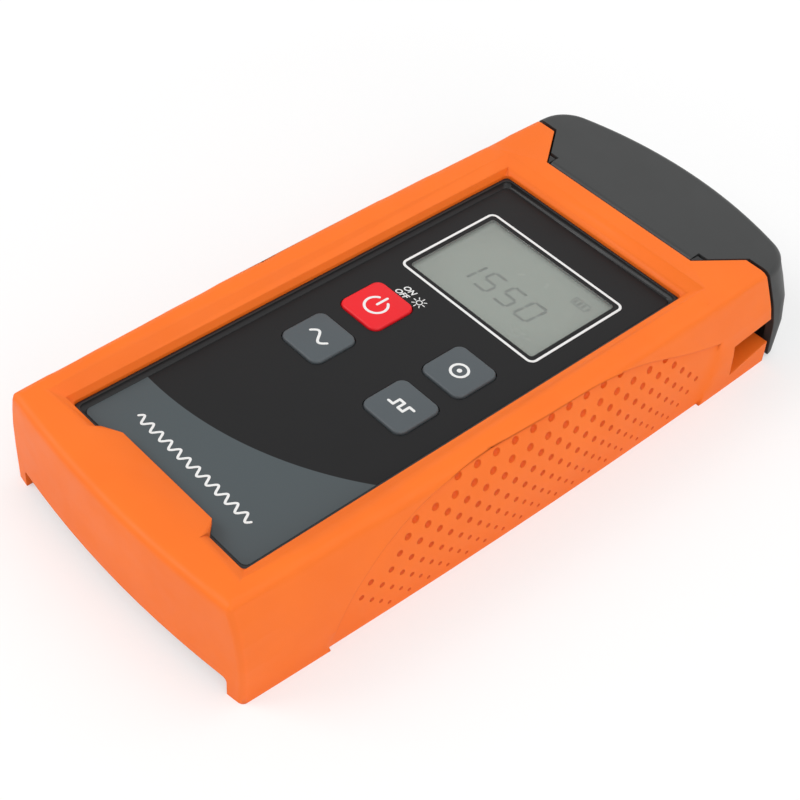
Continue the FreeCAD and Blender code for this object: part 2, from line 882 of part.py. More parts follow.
def contact_plates():
    near, far = contact_ys()
    plates = []
    for i in range(cell_count):
        x, z = cell_axis(i)
        half = contact_width / 2
        low = z - contact_height / 2
        high = z + contact_height / 2
        plates.append(box(x - half, x + half, near, near + contact_thick, low, high))
        plates.append(box(x - half, x + half, far - contact_thick, far, low, high))
    return grouped(plates)


def contact_springs():
    """A short spring at each cell's flat end, drawn as a sleeve of flat sides."""
    near, far = contact_ys()
    springs = []
    for i in range(cell_count):
        x, z = cell_axis(i)
        if i % 2 == 0:
            start = near + contact_thick
            stop = cell_near_y - spring_gap
        else:
            start = cell_far_y + spring_gap
            stop = far - contact_thick
        outer = even_prism(x, start, z, spring_r, 12, "y", stop - start)
        inner = even_prism(x, start, z, spring_r - spring_wire, 12, "y", stop - start)
        springs.append(outer.cut(inner))
    return grouped(springs)


def battery_door():
    low = case_floor_z + door_drop
    plate = box(-door_half, door_half, door_near_y, door_far_y, low, low + door_thick)
    bead = cylinder_x(-door_half, door_half, door_near_y, low + door_bead_r, door_bead_r)
    door = plate.fuse(bead)
    thumb_y = door_far_y - thumb_inset
    thumb = Part.makeCylinder(thumb_r, over + thumb_depth, V(0, thumb_y, low - over))
    thumb = thumb.common(box(-thumb_r, thumb_r, thumb_y - thumb_r, door_far_y - wall, low - over,
                             low + thumb_depth))
    door = door.cut(thumb)
    first = thumb_y - thumb_rib_pitch * (thumb_rib_count - 1) / 2
    for i in range(thumb_rib_count):
        y = first + thumb_rib_pitch * i - thumb_rib_width / 2
        door = door.fuse(box(-thumb_rib_half, thumb_rib_half, y, y + thumb_rib_width, low + door_drop,
                             low + door_thick / 2))
    return door.removeSplitter()


def end_plate():
    y0 = case_far_y - plate_thick
    plate = box(-plate_half, plate_half, y0, case_far_y, plate_low_z, plate_high_z)
    plate = plate.cut(cylinder_y(0.0, y0 - over, case_far_y + over, port_z, port_barrel_r + hole_gap))
    for sign in (1, -1):
        plate = plate.cut(even_prism(sign * port_screw_offset, y0 - over, port_z + sign * port_screw_offset,
                                     port_screw_r + hole_gap, 8, "y", plate_thick + 2 * over))
    return plate


def output_port():
    """Threaded barrel with its flange, the mouth for the plug and the holder of the sleeve."""
    y = case_far_y
    half = port_flange / 2
    flange = box(-half, half, y, y + port_flange_thick, port_z - half, port_z + half)
    sides = [e for e in flange.Edges if abs(e.tangentAt(e.FirstParameter).y) > 0.9]
    flange = flange.makeChamfer(port_flange_corner, sides)
    tip = y + port_barrel_length
    body = joined([flange, cylinder_y(0.0, y - plate_thick - port_rear_length, tip, port_z, port_barrel_r)])
    mouth = cylinder_y(0.0, tip - port_mouth_depth, tip + over, port_z, port_mouth_r)
    body = body.cut(mouth)
    holder = cylinder_y(0.0, tip - port_mouth_depth - over, tip - sleeve_sink, port_z, sleeve_holder_r)
    body = body.fuse(holder)
    rear = y - plate_thick - port_rear_length
    core = cylinder_y(0.0, rear - over, tip + over, port_z, sleeve_r + ferrule_gap)
    body = body.cut(core)
    key_slot = box(-port_slot_half, port_slot_half, tip - port_slot_length, tip + over,
                   port_z + (port_mouth_r + sleeve_holder_r) / 2, port_z + port_barrel_r + over)
    body = body.cut(key_slot)
    for sign in (1, -1):
        body = body.cut(even_prism(sign * port_screw_offset, y - over, port_z + sign * port_screw_offset,
                                   port_screw_r + hole_gap, 8, "y", port_flange_thick + 2 * over))
    return body.removeSplitter()


def port_sleeve():
    tip = case_far_y + port_barrel_length - sleeve_sink
    tube = cylinder_y(0.0, tip - sleeve_length, tip, port_z, sleeve_r)
    return tube.cut(cylinder_y(0.0, tip - sleeve_length - over, tip + over, port_z, sleeve_bore_r))


def port_screws():
    screws = []
    for sign in (1, -1):
        x = sign * port_screw_offset
        z = port_z + sign * port_screw_offset
        face = case_far_y + port_flange_thick
        shank = even_prism(x, case_far_y - plate_thick, z, port_screw_r, 8, "y",
                           plate_thick + port_flange_thick + port_screw_head_thick / 2)
        head = even_prism(x, face, z, port_screw_head_r, 8, "y", port_screw_head_thick)
        screws.append(shank.fuse(head))
    return grouped(screws)


def nut_near_y():
    return case_far_y - plate_thick - nut_gap - nut_length


def pigtail_connector():
    """Nut, ferrule and strain relief that end the inner fibre behind the port."""
    near = nut_near_y()
    start = near - relief_length
    nut = even_prism(0.0, near, port_z, nut_r, 6, "y", nut_length)
    nut = nut.cut(cylinder_y(0.0, case_far_y - plate_thick - port_rear_length, case_far_y, port_z,
                             port_barrel_r + hole_gap))
    tip = case_far_y + port_barrel_length - sleeve_sink - sleeve_length
    ferrule = even_prism(0.0, near, port_z, sleeve_bore_r - ferrule_gap, 12, "y", tip - near)
    relief = even_prism(0.0, start, port_z, relief_r, 12, "y", relief_length + nut_gap)
    end = [e for e in relief.Edges if e.BoundBox.YMax < near - relief_length / 2]
    relief = relief.makeChamfer(relief_break, end)
    return joined([nut, ferrule, relief])


def laser_mount():
    """Block on the case's floor that clamps the laser and takes its heat."""
    half = laser_block_width / 2
    far = laser_near_y + laser_block_length
    low = case_floor_z + floor_thick
    top = laser_z + laser_block_top
    block = box(laser_x - half, laser_x + half, laser_near_y, far, low, top)
    block = block.cut(cylinder_y(laser_x, laser_near_y - over, far + over, laser_z, laser_can_r + hole_gap))
    for i in range(laser_groove_count):
        y = laser_near_y + laser_groove_inset + laser_groove_pitch * i
        block = block.cut(box(laser_x - half - over, laser_x + half + over, y, y + laser_groove_width,
                              laser_z + laser_can_r + over, top + over))
    return block


def laser_module():
    rear = laser_near_y - laser_can_past
    far = rear + laser_can_length
    can = cylinder_y(laser_x, rear, far, laser_z, laser_can_r)
    nose = cylinder_y(laser_x, rear - laser_nose_length, rear + over, laser_z, laser_nose_r)
    legs = [even_prism(laser_x + dx, far - over, laser_z + dz, laser_leg_r, 6, "y", laser_leg_length + over)
            for dx, dz in laser_leg_places]
    return joined([can, nose] + legs)


def fibre_route():
    start = laser_near_y - laser_can_past - laser_nose_length
    return [
        V(laser_x, start, laser_z),
        V(laser_x, fibre_side_y, laser_z),
        V(fibre_near_half, fibre_near_y, laser_z),
        V(-fibre_near_half, fibre_near_y, laser_z),
        V(-laser_x, fibre_side_y, laser_z + fibre_rise),
        V(-fibre_return_x, laser_near_y - fibre_return_drop, laser_z + fibre_return_rise),
        V(-fibre_last_x, laser_near_y + fibre_last_past, port_z - fibre_end_drop),
        V(0.0, nut_near_y() - relief_length, port_z),
    ]


def fibre_pigtail():
    """The inner fibre, laid in one wide turn: straight runs joined by tangent arcs."""
    route = fibre_route()
    edges = []
    at = route[0]
    for i in range(1, len(route) - 1):
        before = (route[i - 1] - route[i])
        after = (route[i + 1] - route[i])
        short = min(before.Length, after.Length)
        before.normalize()
        after.normalize()
        turn = math.pi - math.acos(max(-1.0, min(1.0, before.dot(after))))
        reach = bend_share * short
        radius = reach / math.tan(turn / 2)
        a = route[i] + before * reach
        b = route[i] + after * reach
        middle = before + after
        middle.normalize()
        centre = route[i] + middle * (radius / math.cos(turn / 2))
        crown = centre - middle * radius
        edges.append(Part.LineSegment(at, a).toShape())
        edges.append(Part.Arc(a, crown, b).toShape())
        at = b
    edges.append(Part.LineSegment(at, route[-1]).toShape())
    path = Part.Wire(edges)
    start = even_polygon(route[0].x, route[0].y, route[0].z, fibre_r, 6, "y")
    tube = path.makePipeShell([start], True, False)
    return tube


def cover_hollow():
    """Space inside the cap, kept a wall's thickness inside the outer form."""
    last = len(flare_heights) - 1
    roof = form_height - cover_wall
    rings = [plan_outline(-over, 0, cover_wall), plan_outline(flare_heights[1], 1, cover_wall),
             plan_outline(roof, last, cover_wall)]
    return Part.makeLoft(rings, True, True)


def dust_cover():
    """Cap over the output end: full at its edges, hollow inside, with a hinge bead along its near edge."""
    area = between_ears(cover_gap).fuse(edge_prism(cover_setback, far_end_y + over))
    cover = outer_form().common(area)
    wide = 2 * case_half
    top = form_height + over
    cover = cover.cut(box(-wide, wide, 0.0, far_end_y + over, -over, cover_foot_z))
    cover = cover.cut(cover_hollow())
    for sign in (1, -1):
        x0, x1 = sorted((sign * hinge_half, sign * wide))
        cover = cover.cut(box(x0, x1, 0.0, hinge_y() + hinge_cover_past, -over, top))
    cover = cover.cut(box(-wide, wide, 0.0, hinge_y(), -over, top))
    cover = joined([cover, cylinder_x(-hinge_half, hinge_half, hinge_y(), hinge_z(), hinge_drop)])
    for sign in (1, -1):
        x0, x1 = sorted((sign * hinge_half, sign * (hinge_half - hinge_pin_hold)))
        cover = cover.cut(cylinder_x(x0, x1, hinge_y(), hinge_z(), hinge_pin_r + hinge_run_gap))
    return cover


def hinge_pins():
    pins = []
    for sign in (1, -1):
        inner = hinge_half - hinge_pin_hold + cover_gap
        x0, x1 = sorted((sign * inner, sign * (hinge_half + hinge_pin_past)))
        pins.append(cylinder_x(x0, x1, hinge_y(), hinge_z(), hinge_pin_r))
    return grouped(pins)


def build():
    os.makedirs("parts", exist_ok=True)
    parts = {
        "protective_boot": protective_boot(),
        "front_housing": front_housing(),
        "rear_housing": rear_housing(),
        "front_panel": front_panel(),
        "display_window": display_window(),
        "lcd_glass": lcd_glass(),
        "lcd_backlight": lcd_backlight(),
        "lcd_holder": lcd_holder(),
        "keypad_mat": keypad_mat(),
        "contact_domes": contact_domes(),
        "main_board": main_board(),
        "board_chips": board_chips(),
        "board_screws": board_screws(),
        "case_screws": case_screws(),
        "contact_plates": contact_plates(),
        "contact_springs": contact_springs(),
        "battery_door": battery_door(),
        "end_plate": end_plate(),
        "output_port": output_port(),
        "port_sleeve": port_sleeve(),
        "port_screws": port_screws(),
        "pigtail_connector": pigtail_connector(),
        "laser_mount": laser_mount(),
        "laser_module": laser_module(),
        "fibre_pigtail": fibre_pigtail(),
        "dust_cover": dust_cover(),
        "hinge_pins": hinge_pins(),
    }
    for name in key_places:
        parts[name] = key(name)
    for i in range(cell_count):
        parts["battery_cell_" + str(i + 1)] = battery_cell(i)
    for name, shape in parts.items():
        print(name, "valid" if shape.isValid() else "NOT VALID", len(shape.Solids), round(shape.Volume, 1))
        shape.exportStep("parts/" + name + ".step")


build()
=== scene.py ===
import math

import bmesh
import bpy
from mathutils import Matrix, Vector
from mathutils.bvhtree import BVHTree


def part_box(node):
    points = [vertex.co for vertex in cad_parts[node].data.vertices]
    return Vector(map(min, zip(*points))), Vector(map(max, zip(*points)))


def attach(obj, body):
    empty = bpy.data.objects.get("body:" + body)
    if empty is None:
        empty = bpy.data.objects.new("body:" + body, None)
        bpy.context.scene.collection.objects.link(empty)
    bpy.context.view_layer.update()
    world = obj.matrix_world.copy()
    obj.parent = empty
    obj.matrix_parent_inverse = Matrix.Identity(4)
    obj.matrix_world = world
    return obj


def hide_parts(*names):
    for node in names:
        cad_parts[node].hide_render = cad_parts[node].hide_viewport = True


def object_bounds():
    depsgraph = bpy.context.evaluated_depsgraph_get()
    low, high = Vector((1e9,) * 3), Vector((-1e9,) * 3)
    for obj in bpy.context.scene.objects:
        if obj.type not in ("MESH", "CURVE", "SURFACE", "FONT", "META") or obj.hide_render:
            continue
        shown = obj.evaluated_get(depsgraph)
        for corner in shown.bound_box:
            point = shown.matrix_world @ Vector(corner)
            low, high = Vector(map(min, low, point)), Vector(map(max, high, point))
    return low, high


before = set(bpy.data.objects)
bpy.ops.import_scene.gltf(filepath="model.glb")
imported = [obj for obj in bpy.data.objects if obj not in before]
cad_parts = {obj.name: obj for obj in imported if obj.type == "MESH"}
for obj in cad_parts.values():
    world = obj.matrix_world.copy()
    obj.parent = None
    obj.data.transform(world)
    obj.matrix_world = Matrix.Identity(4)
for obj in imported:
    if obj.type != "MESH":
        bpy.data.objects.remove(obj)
cad_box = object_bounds()

bl_info = {
    "name": "Handheld light source",
    "version": (1, 0, 0),
    "blender": (4, 5, 0),
    "location": "View3D > Sidebar > Light source",
    "description": "Rubber boot, dust cap, printed panel, keys, display and inner parts of a handheld light source",
    "category": "Object",
}

MM = 0.001
LAYER = 0.004 * MM
# How far the ambient occlusion looks when it paints shade into hollows.
SHADE_REACH = 1.4 * MM
SHARP = 24
NEAR = 1e-6


def tone(red, green, blue):
    """A colour written in screen values from 0 to 255, as the linear colour that a shader takes."""
    linear = []
    for part in (red, green, blue):
        share = part / 255
        linear.append(share / 12.92 if share <= 0.04045 else ((share + 0.055) / 1.055) ** 2.4)
    return tuple(linear)


def length_prop(name, about, default):
    """A length in the settings."""
    return bpy.props.FloatProperty(name=name, description=about, default=default, unit="LENGTH", precision=5)


def colour_prop(name, about, default):
    """A colour in the settings."""
    return bpy.props.FloatVectorProperty(name=name, description=about, default=default, subtype="COLOR",
                                         min=0.0, max=1.0)


class SourceSizes(bpy.types.PropertyGroup):
    edge_softness: length_prop("Edge softness", "Radius of the worn round on moulded edges", 0.35 * MM)
    dimple_depth: length_prop("Dimple depth", "How deep the largest grip dimple is", 0.85 * MM)
    key_corner: length_prop("Key corner", "Corner radius of a key seen from above", 2.2 * MM)
    key_shoulder: length_prop("Key shoulder", "Round between a key's top and its sides", 0.55 * MM)
    print_height: length_prop("Print height", "How far printed marks stand up", 0.05 * MM)
    frame_line: length_prop("Frame line", "Width of the white line round the display", 0.62 * MM)
    thread_pitch: length_prop("Thread pitch", "Pitch of the thread on the output port", 0.75 * MM)


class SourceColours(bpy.types.PropertyGroup):
    boot: colour_prop("Boot", "Orange silicone rubber of the boot", tone(255, 118, 30))
    # Painted shade: a darker orange laid into the dimples, standing in for the shadow inside them.
    boot_painted_shade: colour_prop("Boot hollows", "Deeper orange inside the dimples", tone(212, 76, 18))
    cap: colour_prop("Cap", "Charcoal plastic of the dust cap", tone(58, 59, 59))
    case: colour_prop("Case", "Black plastic of the case", tone(34, 34, 35))
    panel_dark: colour_prop("Panel", "Black part of the printed panel", tone(27, 27, 28))
    panel_pale: colour_prop("Panel corner", "Grey part of the printed panel", tone(80, 88, 91))
    ink: colour_prop("Ink", "White printed lines and signs", tone(238, 239, 238))
    key_grey: colour_prop("Grey key", "Rubber of the grey keys", tone(80, 87, 91))
    key_red: colour_prop("Red key", "Rubber of the power key", tone(236, 30, 40))
    display: colour_prop("Display", "Liquid crystal background", tone(121, 130, 120))


# Mesh helpers

def place(name, bm, body, material, flat=False):
    """Turns a finished bmesh into a piece that rides on a body."""
    mesh = bpy.data.meshes.new(name)
    bm.to_mesh(mesh)
    bm.free()
    piece = bpy.data.objects.new(name, mesh)
    bpy.context.scene.collection.objects.link(piece)
    soften(piece, flat)
    mesh.materials.append(material)
    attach(piece, body)
    return piece


def soften(piece, flat=False):
    """Smooth shading that keeps real edges crisp."""
    mesh = piece.data
    for face in mesh.polygons:
        face.use_smooth = not flat
    if not flat:
        mesh.set_sharp_from_angle(angle=math.radians(SHARP))


def even_shading(piece):
    """Lets wide flat faces decide how a corner is shaded, so that no crease runs across them."""
    weighted = piece.modifiers.new("Weighted normals", "WEIGHTED_NORMAL")
    weighted.mode = "FACE_AREA"
    weighted.weight = 90
    weighted.keep_sharp = True


def node_copy(node):
    """The CAD solid's surface as one joined bmesh."""
    bm = bmesh.new()
    bm.from_mesh(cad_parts[node].data)
    bmesh.ops.remove_doubles(bm, verts=bm.verts, dist=0.0015 * MM)
    return bm


def unit_shape(create, **settings):
    """A small mesh of size one, to be stamped many times."""
    bm = bmesh.new()
    create(bm, **settings)
    mesh = bpy.data.meshes.new("unit")
    bm.to_mesh(mesh)
    bm.free()
    return mesh


def stamp(bm, shape, matrix):
    """Adds a placed copy of a unit shape, which stays quick however large the mesh has grown."""
    copy = shape.copy()
    copy.transform(matrix)
    bm.from_mesh(copy)
    bpy.data.meshes.remove(copy)


def bar(bm, a, b, width, low, high):
    """Straight stroke between two points, as a thin block."""
    run = Vector((b[0] - a[0], b[1] - a[1], 0.0))
    turn = Matrix.Rotation(math.atan2(run.y, run.x), 4, "Z")
    middle = Matrix.Translation(((a[0] + b[0]) / 2, (a[1] + b[1]) / 2, (low + high) / 2))
    block = unit_shape(bmesh.ops.create_cube, size=1.0)
    stamp(bm, block, middle @ turn @ Matrix.Diagonal((run.length, width, high - low, 1.0)))
    bpy.data.meshes.remove(block)


def disc(bm, x, y, radius, low, high, sides=20):
    """Thin round block standing on the panel."""
    round_block = unit_shape(bmesh.ops.create_cone, cap_ends=True, segments=sides, radius1=1.0, radius2=1.0,
                             depth=1.0)
    stamp(bm, round_block, Matrix.Translation((x, y, (low + high) / 2))
          @ Matrix.Diagonal((radius, radius, high - low, 1.0)))
    bpy.data.meshes.remove(round_block)


def stroke(bm, points, width, low, high):
    """A line of bars with round joints; neighbours differ a hair in height, so no two tops coincide."""
    for i, (a, b) in enumerate(zip(points, points[1:])):
        bar(bm, a, b, width, low, high - (i % 2) * LAYER)
    for i, point in enumerate(points):
        disc(bm, point[0], point[1], width / 2, low, high - (2 + i % 2) * LAYER, 12)


def arc_points(x, y, radius, start, stop, count):
    """Evenly spaced points on an arc; start and stop are angles."""
    step = (stop - start) / count
    return [(x + radius * math.cos(start + step * i), y + radius * math.sin(start + step * i))
            for i in range(count + 1)]


def turned(bm, profile, centre, segments):
    """Spins a line of points, given as (radius, height), round an upright axis."""
    verts = [bm.verts.new((centre[0] + r, centre[1], centre[2] + h)) for r, h in profile]
    edges = [bm.edges.new(pair) for pair in zip(verts, verts[1:])]
    bmesh.ops.spin(bm, geom=verts + edges, cent=centre, axis=(0, 0, 1), angle=math.tau, steps=segments,
                   use_merge=True)
    bmesh.ops.remove_doubles(bm, verts=bm.verts, dist=0.002 * MM)
    bmesh.ops.recalc_face_normals(bm, faces=bm.faces)


def soft_block(bm, low, high, corner, shoulder, corner_steps=6, shoulder_steps=4):
    """Block with round corners seen from above and a soft upper rim."""
    fresh = bmesh.ops.create_cube(bm, size=1.0, matrix=Matrix.Translation((low + high) / 2)
                                  @ Matrix.Diagonal((*(high - low), 1.0)))["verts"]
    edges = {e for v in fresh for e in v.link_edges}
    upright = [e for e in edges if abs((e.verts[0].co - e.verts[1].co).z) > (high.z - low.z) / 2]
    bmesh.ops.bevel(bm, geom=upright, offset=corner, segments=corner_steps, profile=0.5, affect="EDGES",
                    material=-1, clamp_overlap=True)
    if shoulder > 0:
        near_top = [e for e in bm.edges if all(v.co.z > high.z - NEAR for v in e.verts)
                    and low.x - NEAR < e.verts[0].co.x < high.x + NEAR
                    and low.y - NEAR < e.verts[0].co.y < high.y + NEAR]
        bmesh.ops.bevel(bm, geom=near_top, offset=shoulder, segments=shoulder_steps, profile=0.5, affect="EDGES",
                        material=-1, clamp_overlap=True)


def add_mesh(bm, other):
    """Adds one bmesh to another and frees it."""
    mesh = bpy.data.meshes.new("part")
    other.to_mesh(mesh)
    other.free()
    bm.from_mesh(mesh)
    bpy.data.meshes.remove(mesh)


def cut_away(piece, cutter):
    """Takes one mesh out of a piece for good."""
    modifier = piece.modifiers.new("Cut", "BOOLEAN")
    modifier.operation = "DIFFERENCE"
    modifier.solver = "MANIFOLD"
    modifier.object = cutter
    ready = piece.evaluated_get(bpy.context.evaluated_depsgraph_get())
    mesh = bpy.data.meshes.new_from_object(ready)
    old = piece.data
    piece.modifiers.clear()
    piece.data = mesh
    bpy.data.meshes.remove(old)
    bpy.data.objects.remove(cutter)
    soften(piece)


def loose_object(name, bm):
    """An object that is no piece of the part, such as a cutter or the floor."""
    mesh = bpy.data.meshes.new(name)
    bm.to_mesh(mesh)
    bm.free()
    made = bpy.data.objects.new(name, mesh)
    bpy.context.scene.collection.objects.link(made)
    return made


# Materials

class Finish:
    """One material with object coordinates ready for its patterns."""

    def __init__(self, name):
        self.material = bpy.data.materials.new(name)
        self.material.use_nodes = True
        self.tree = self.material.node_tree
        self.shader = self.tree.nodes["Principled BSDF"]
        self.coords = self.add("ShaderNodeTexCoord").outputs["Object"]

    def add(self, kind, **settings):
        node = self.tree.nodes.new(kind)
        for key, value in settings.items():
            setattr(node, key, value)
        return node

    def join(self, source, target):
        self.tree.links.new(source, target)

    def noise(self, scale, detail=3.0, stretch=(1, 1, 1)):
        mapping = self.add("ShaderNodeMapping")
        mapping.inputs["Scale"].default_value = stretch
        self.join(self.coords, mapping.inputs["Vector"])
        node = self.add("ShaderNodeTexNoise")
        node.inputs["Scale"].default_value = scale
        node.inputs["Detail"].default_value = detail
        self.join(mapping.outputs["Vector"], node.inputs["Vector"])
        return node.outputs["Fac"]

    def spread(self, value, low, high):
        """Maps a 0 to 1 pattern to a range."""
        node = self.add("ShaderNodeMapRange")
        node.inputs["From Min"].default_value = 0.3
        node.inputs["From Max"].default_value = 0.7
        node.inputs["To Min"].default_value = low
        node.inputs["To Max"].default_value = high
        self.join(value, node.inputs["Value"])
        return node.outputs["Result"]

    def blend(self, factor, first, second):
        """Mixes two colours, each a plain colour or a socket."""
        node = self.add("ShaderNodeMix", data_type="RGBA")
        self.join(factor, node.inputs["Factor"])
        for socket, colour in ((node.inputs["A"], first), (node.inputs["B"], second)):
            if isinstance(colour, bpy.types.NodeSocket):
                self.join(colour, socket)
            else:
                socket.default_value = (*colour, 1.0)
        return node.outputs["Result"]

    def grain(self, height_socket, height, edge=0.0):
        """Surface relief on top of softly rounded edges."""
        bump = self.add("ShaderNodeBump")
        bump.inputs["Strength"].default_value = 1.0
        bump.inputs["Distance"].default_value = height
        self.join(height_socket, bump.inputs["Height"])
        if edge > 0:
            rounded = self.add("ShaderNodeBevel", samples=6)
            rounded.inputs["Radius"].default_value = edge
            self.join(rounded.outputs["Normal"], bump.inputs["Normal"])
        self.join(bump.outputs["Normal"], self.shader.inputs["Normal"])


def darker(colour, share):
    """The colour with its parts scaled down."""
    return tuple(part * share for part in colour)


def moulded(name, colour, rough, grain_scale, grain_height, edge, variation=0.06, gloss=0.5, painted_hollow_shade=None):
    """Moulded plastic or rubber with fine grain, faint colour variation and soft edges.

    The last argument, if given, is painted shade: a darker colour blended into narrow hollows that ambient occlusion
    finds closed in.
    """
    finish = Finish(name)
    finish.shader.inputs["Specular IOR Level"].default_value = gloss
    cloud = finish.noise(55.0, 2.0)
    mixed = finish.blend(finish.spread(cloud, 0.0, 1.0), darker(colour, 1 - variation),
                         tuple(min(part * (1 + variation), 1.0) for part in colour))
    if painted_hollow_shade:
        # Painted shade: ambient occlusion picks out narrow hollows, and the shade colour is blended in there.
        shade_occlusion = finish.add("ShaderNodeAmbientOcclusion", samples=8, only_local=True)
        shade_occlusion.inputs["Distance"].default_value = SHADE_REACH
        openness = finish.add("ShaderNodeMapRange")
        openness.inputs["From Min"].default_value = 0.45
        openness.inputs["From Max"].default_value = 0.85
        finish.join(shade_occlusion.outputs["AO"], openness.inputs["Value"])
        mixed = finish.blend(openness.outputs["Result"], painted_hollow_shade, mixed)
    finish.join(mixed, finish.shader.inputs["Base Color"])
    finish.join(finish.spread(finish.noise(140.0), rough - 0.05, rough + 0.05), finish.shader.inputs["Roughness"])
    finish.grain(finish.noise(grain_scale, 2.0), grain_height, edge)
    return finish.material


def metal(name, colour, rough, brush=(1, 1, 1)):
    """Plain metal with fine drawn marks."""
    finish = Finish(name)
    marks = finish.noise(900.0, 2.0, brush)
    finish.join(finish.blend(marks, darker(colour, 0.88), colour), finish.shader.inputs["Base Color"])
    finish.shader.inputs["Metallic"].default_value = 1.0
    finish.join(finish.spread(marks, rough - 0.06, rough + 0.08), finish.shader.inputs["Roughness"])
    finish.grain(marks, 0.004 * MM)
    return finish.material


def boot_rubber(colours, sizes):
    # The last colour is painted shade for the insides of the dimples.
    return moulded("Boot rubber", colours.boot, 0.5, 1900.0, 0.005 * MM, sizes.edge_softness, 0.04, 0.3,
                   colours.boot_painted_shade)


def cap_plastic(colours, sizes):
    return moulded("Cap plastic", colours.cap, 0.4, 2600.0, 0.006 * MM, sizes.edge_softness, 0.04, 0.25)


def case_plastic(colours, sizes):
    return moulded("Housing plastic", colours.case, 0.4, 2400.0, 0.005 * MM, sizes.edge_softness, 0.04, 0.3)


def key_rubber(name, colour, sizes):
    return moulded(name, colour, 0.42, 3000.0, 0.004 * MM, 0.25 * MM, 0.03, 0.3)


def ink(colours):
    return moulded("White print", colours.ink, 0.5, 4000.0, 0.002 * MM, 0.0, 0.02)


def panel_print(colours):
    """Black overlay whose near corner is grey beyond a wide arc."""
    finish = Finish("Panel print")
    flatten = finish.add("ShaderNodeMapping")
    flatten.inputs["Location"].default_value = (-ARC_CENTRE[0], -ARC_CENTRE[1], 0.0)
    flatten.inputs["Scale"].default_value = (1.0, 1.0, 0.0)
    finish.join(finish.coords, flatten.inputs["Vector"])
    reach = finish.add("ShaderNodeVectorMath", operation="LENGTH")
    finish.join(flatten.outputs["Vector"], reach.inputs[0])
    beyond = finish.add("ShaderNodeMapRange")
    beyond.inputs["From Min"].default_value = ARC_RADIUS - 0.05 * MM
    beyond.inputs["From Max"].default_value = ARC_RADIUS + 0.05 * MM
    finish.join(reach.outputs["Value"], beyond.inputs["Value"])
    finish.join(finish.blend(beyond.outputs["Result"], colours.panel_dark, colours.panel_pale),
                finish.shader.inputs["Base Color"])
    finish.shader.inputs["Specular IOR Level"].default_value = 0.16
    finish.join(finish.spread(finish.noise(120.0), 0.3, 0.38), finish.shader.inputs["Roughness"])
    finish.grain(finish.noise(2600.0, 2.0), 0.0015 * MM, 0.1 * MM)
    return finish.material


def clear_window():
    """Thin clear sheet: mostly see-through, with its own gloss."""
    finish = Finish("Clear window")
    finish.shader.inputs["Base Color"].default_value = (0.80, 0.84, 0.80, 1.0)
    finish.shader.inputs["Alpha"].default_value = 0.12
    finish.join(finish.spread(finish.noise(200.0), 0.04, 0.08), finish.shader.inputs["Roughness"])
    finish.material.surface_render_method = "BLENDED"
    return finish.material


def display_glass(colours):
    """Grey-green liquid crystal, with painted shade darkening it toward its rim."""
    finish = Finish("Display glass")
    middle = finish.add("ShaderNodeMapping")
    low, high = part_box("lcd_glass")
    centre = (low + high) / 2
    half = (high - low) / 2
    middle.inputs["Location"].default_value = (-centre.x / half.x, -centre.y / half.y, 0.0)
    middle.inputs["Scale"].default_value = (1 / half.x, 1 / half.y, 0.0)
    finish.join(finish.coords, middle.inputs["Vector"])
    reach = finish.add("ShaderNodeVectorMath", operation="LENGTH")
    finish.join(middle.outputs["Vector"], reach.inputs[0])
    # Painted shade: the rim of the liquid crystal is darkened, standing in for the shadow of its recess.
    rim = finish.add("ShaderNodeMapRange")
    rim.inputs["From Min"].default_value = 0.7
    rim.inputs["From Max"].default_value = 1.35
    finish.join(reach.outputs["Value"], rim.inputs["Value"])
    finish.join(finish.blend(rim.outputs["Result"], colours.display, darker(colours.display, 0.72)),
                finish.shader.inputs["Base Color"])
    finish.join(finish.spread(finish.noise(160.0), 0.2, 0.28), finish.shader.inputs["Roughness"])
    return finish.material


def board_mask():
    """Green solder mask with fine copper lines showing through."""
    finish = Finish("Solder mask")
    lines = finish.add("ShaderNodeTexBrick")
    lines.inputs["Scale"].default_value = 420.0
    lines.inputs["Mortar Size"].default_value = 0.06
    lines.inputs["Color1"].default_value = (0.012, 0.10, 0.040, 1.0)
    lines.inputs["Color2"].default_value = (0.010, 0.085, 0.034, 1.0)
    lines.inputs["Mortar"].default_value = (0.03, 0.19, 0.07, 1.0)
    finish.join(finish.coords, lines.inputs["Vector"])
    finish.join(lines.outputs["Color"], finish.shader.inputs["Base Color"])
    finish.join(finish.spread(finish.noise(300.0), 0.28, 0.4), finish.shader.inputs["Roughness"])
    finish.grain(lines.outputs["Fac"], 0.01 * MM)
    return finish.material


def cell_wrap():
    """Plain grey sleeve with one copper-coloured band at the positive end."""
    finish = Finish("Cell sleeve")
    low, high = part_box("battery_cell_1")
    split = finish.add("ShaderNodeSeparateXYZ")
    finish.join(finish.coords, split.inputs["Vector"])
    along = finish.add("ShaderNodeMapRange")
    along.inputs["From Min"].default_value = high.y - 13.1 * MM
    along.inputs["From Max"].default_value = high.y - 13.0 * MM
    finish.join(split.outputs["Y"], along.inputs["Value"])
    finish.join(finish.blend(along.outputs["Result"], tone(60, 64, 70), tone(184, 120, 74)),
                finish.shader.inputs["Base Color"])
    finish.shader.inputs["Metallic"].default_value = 0.35
    finish.join(finish.spread(finish.noise(400.0), 0.24, 0.34), finish.shader.inputs["Roughness"])
    return finish.material


# Places read from the frame, in metres

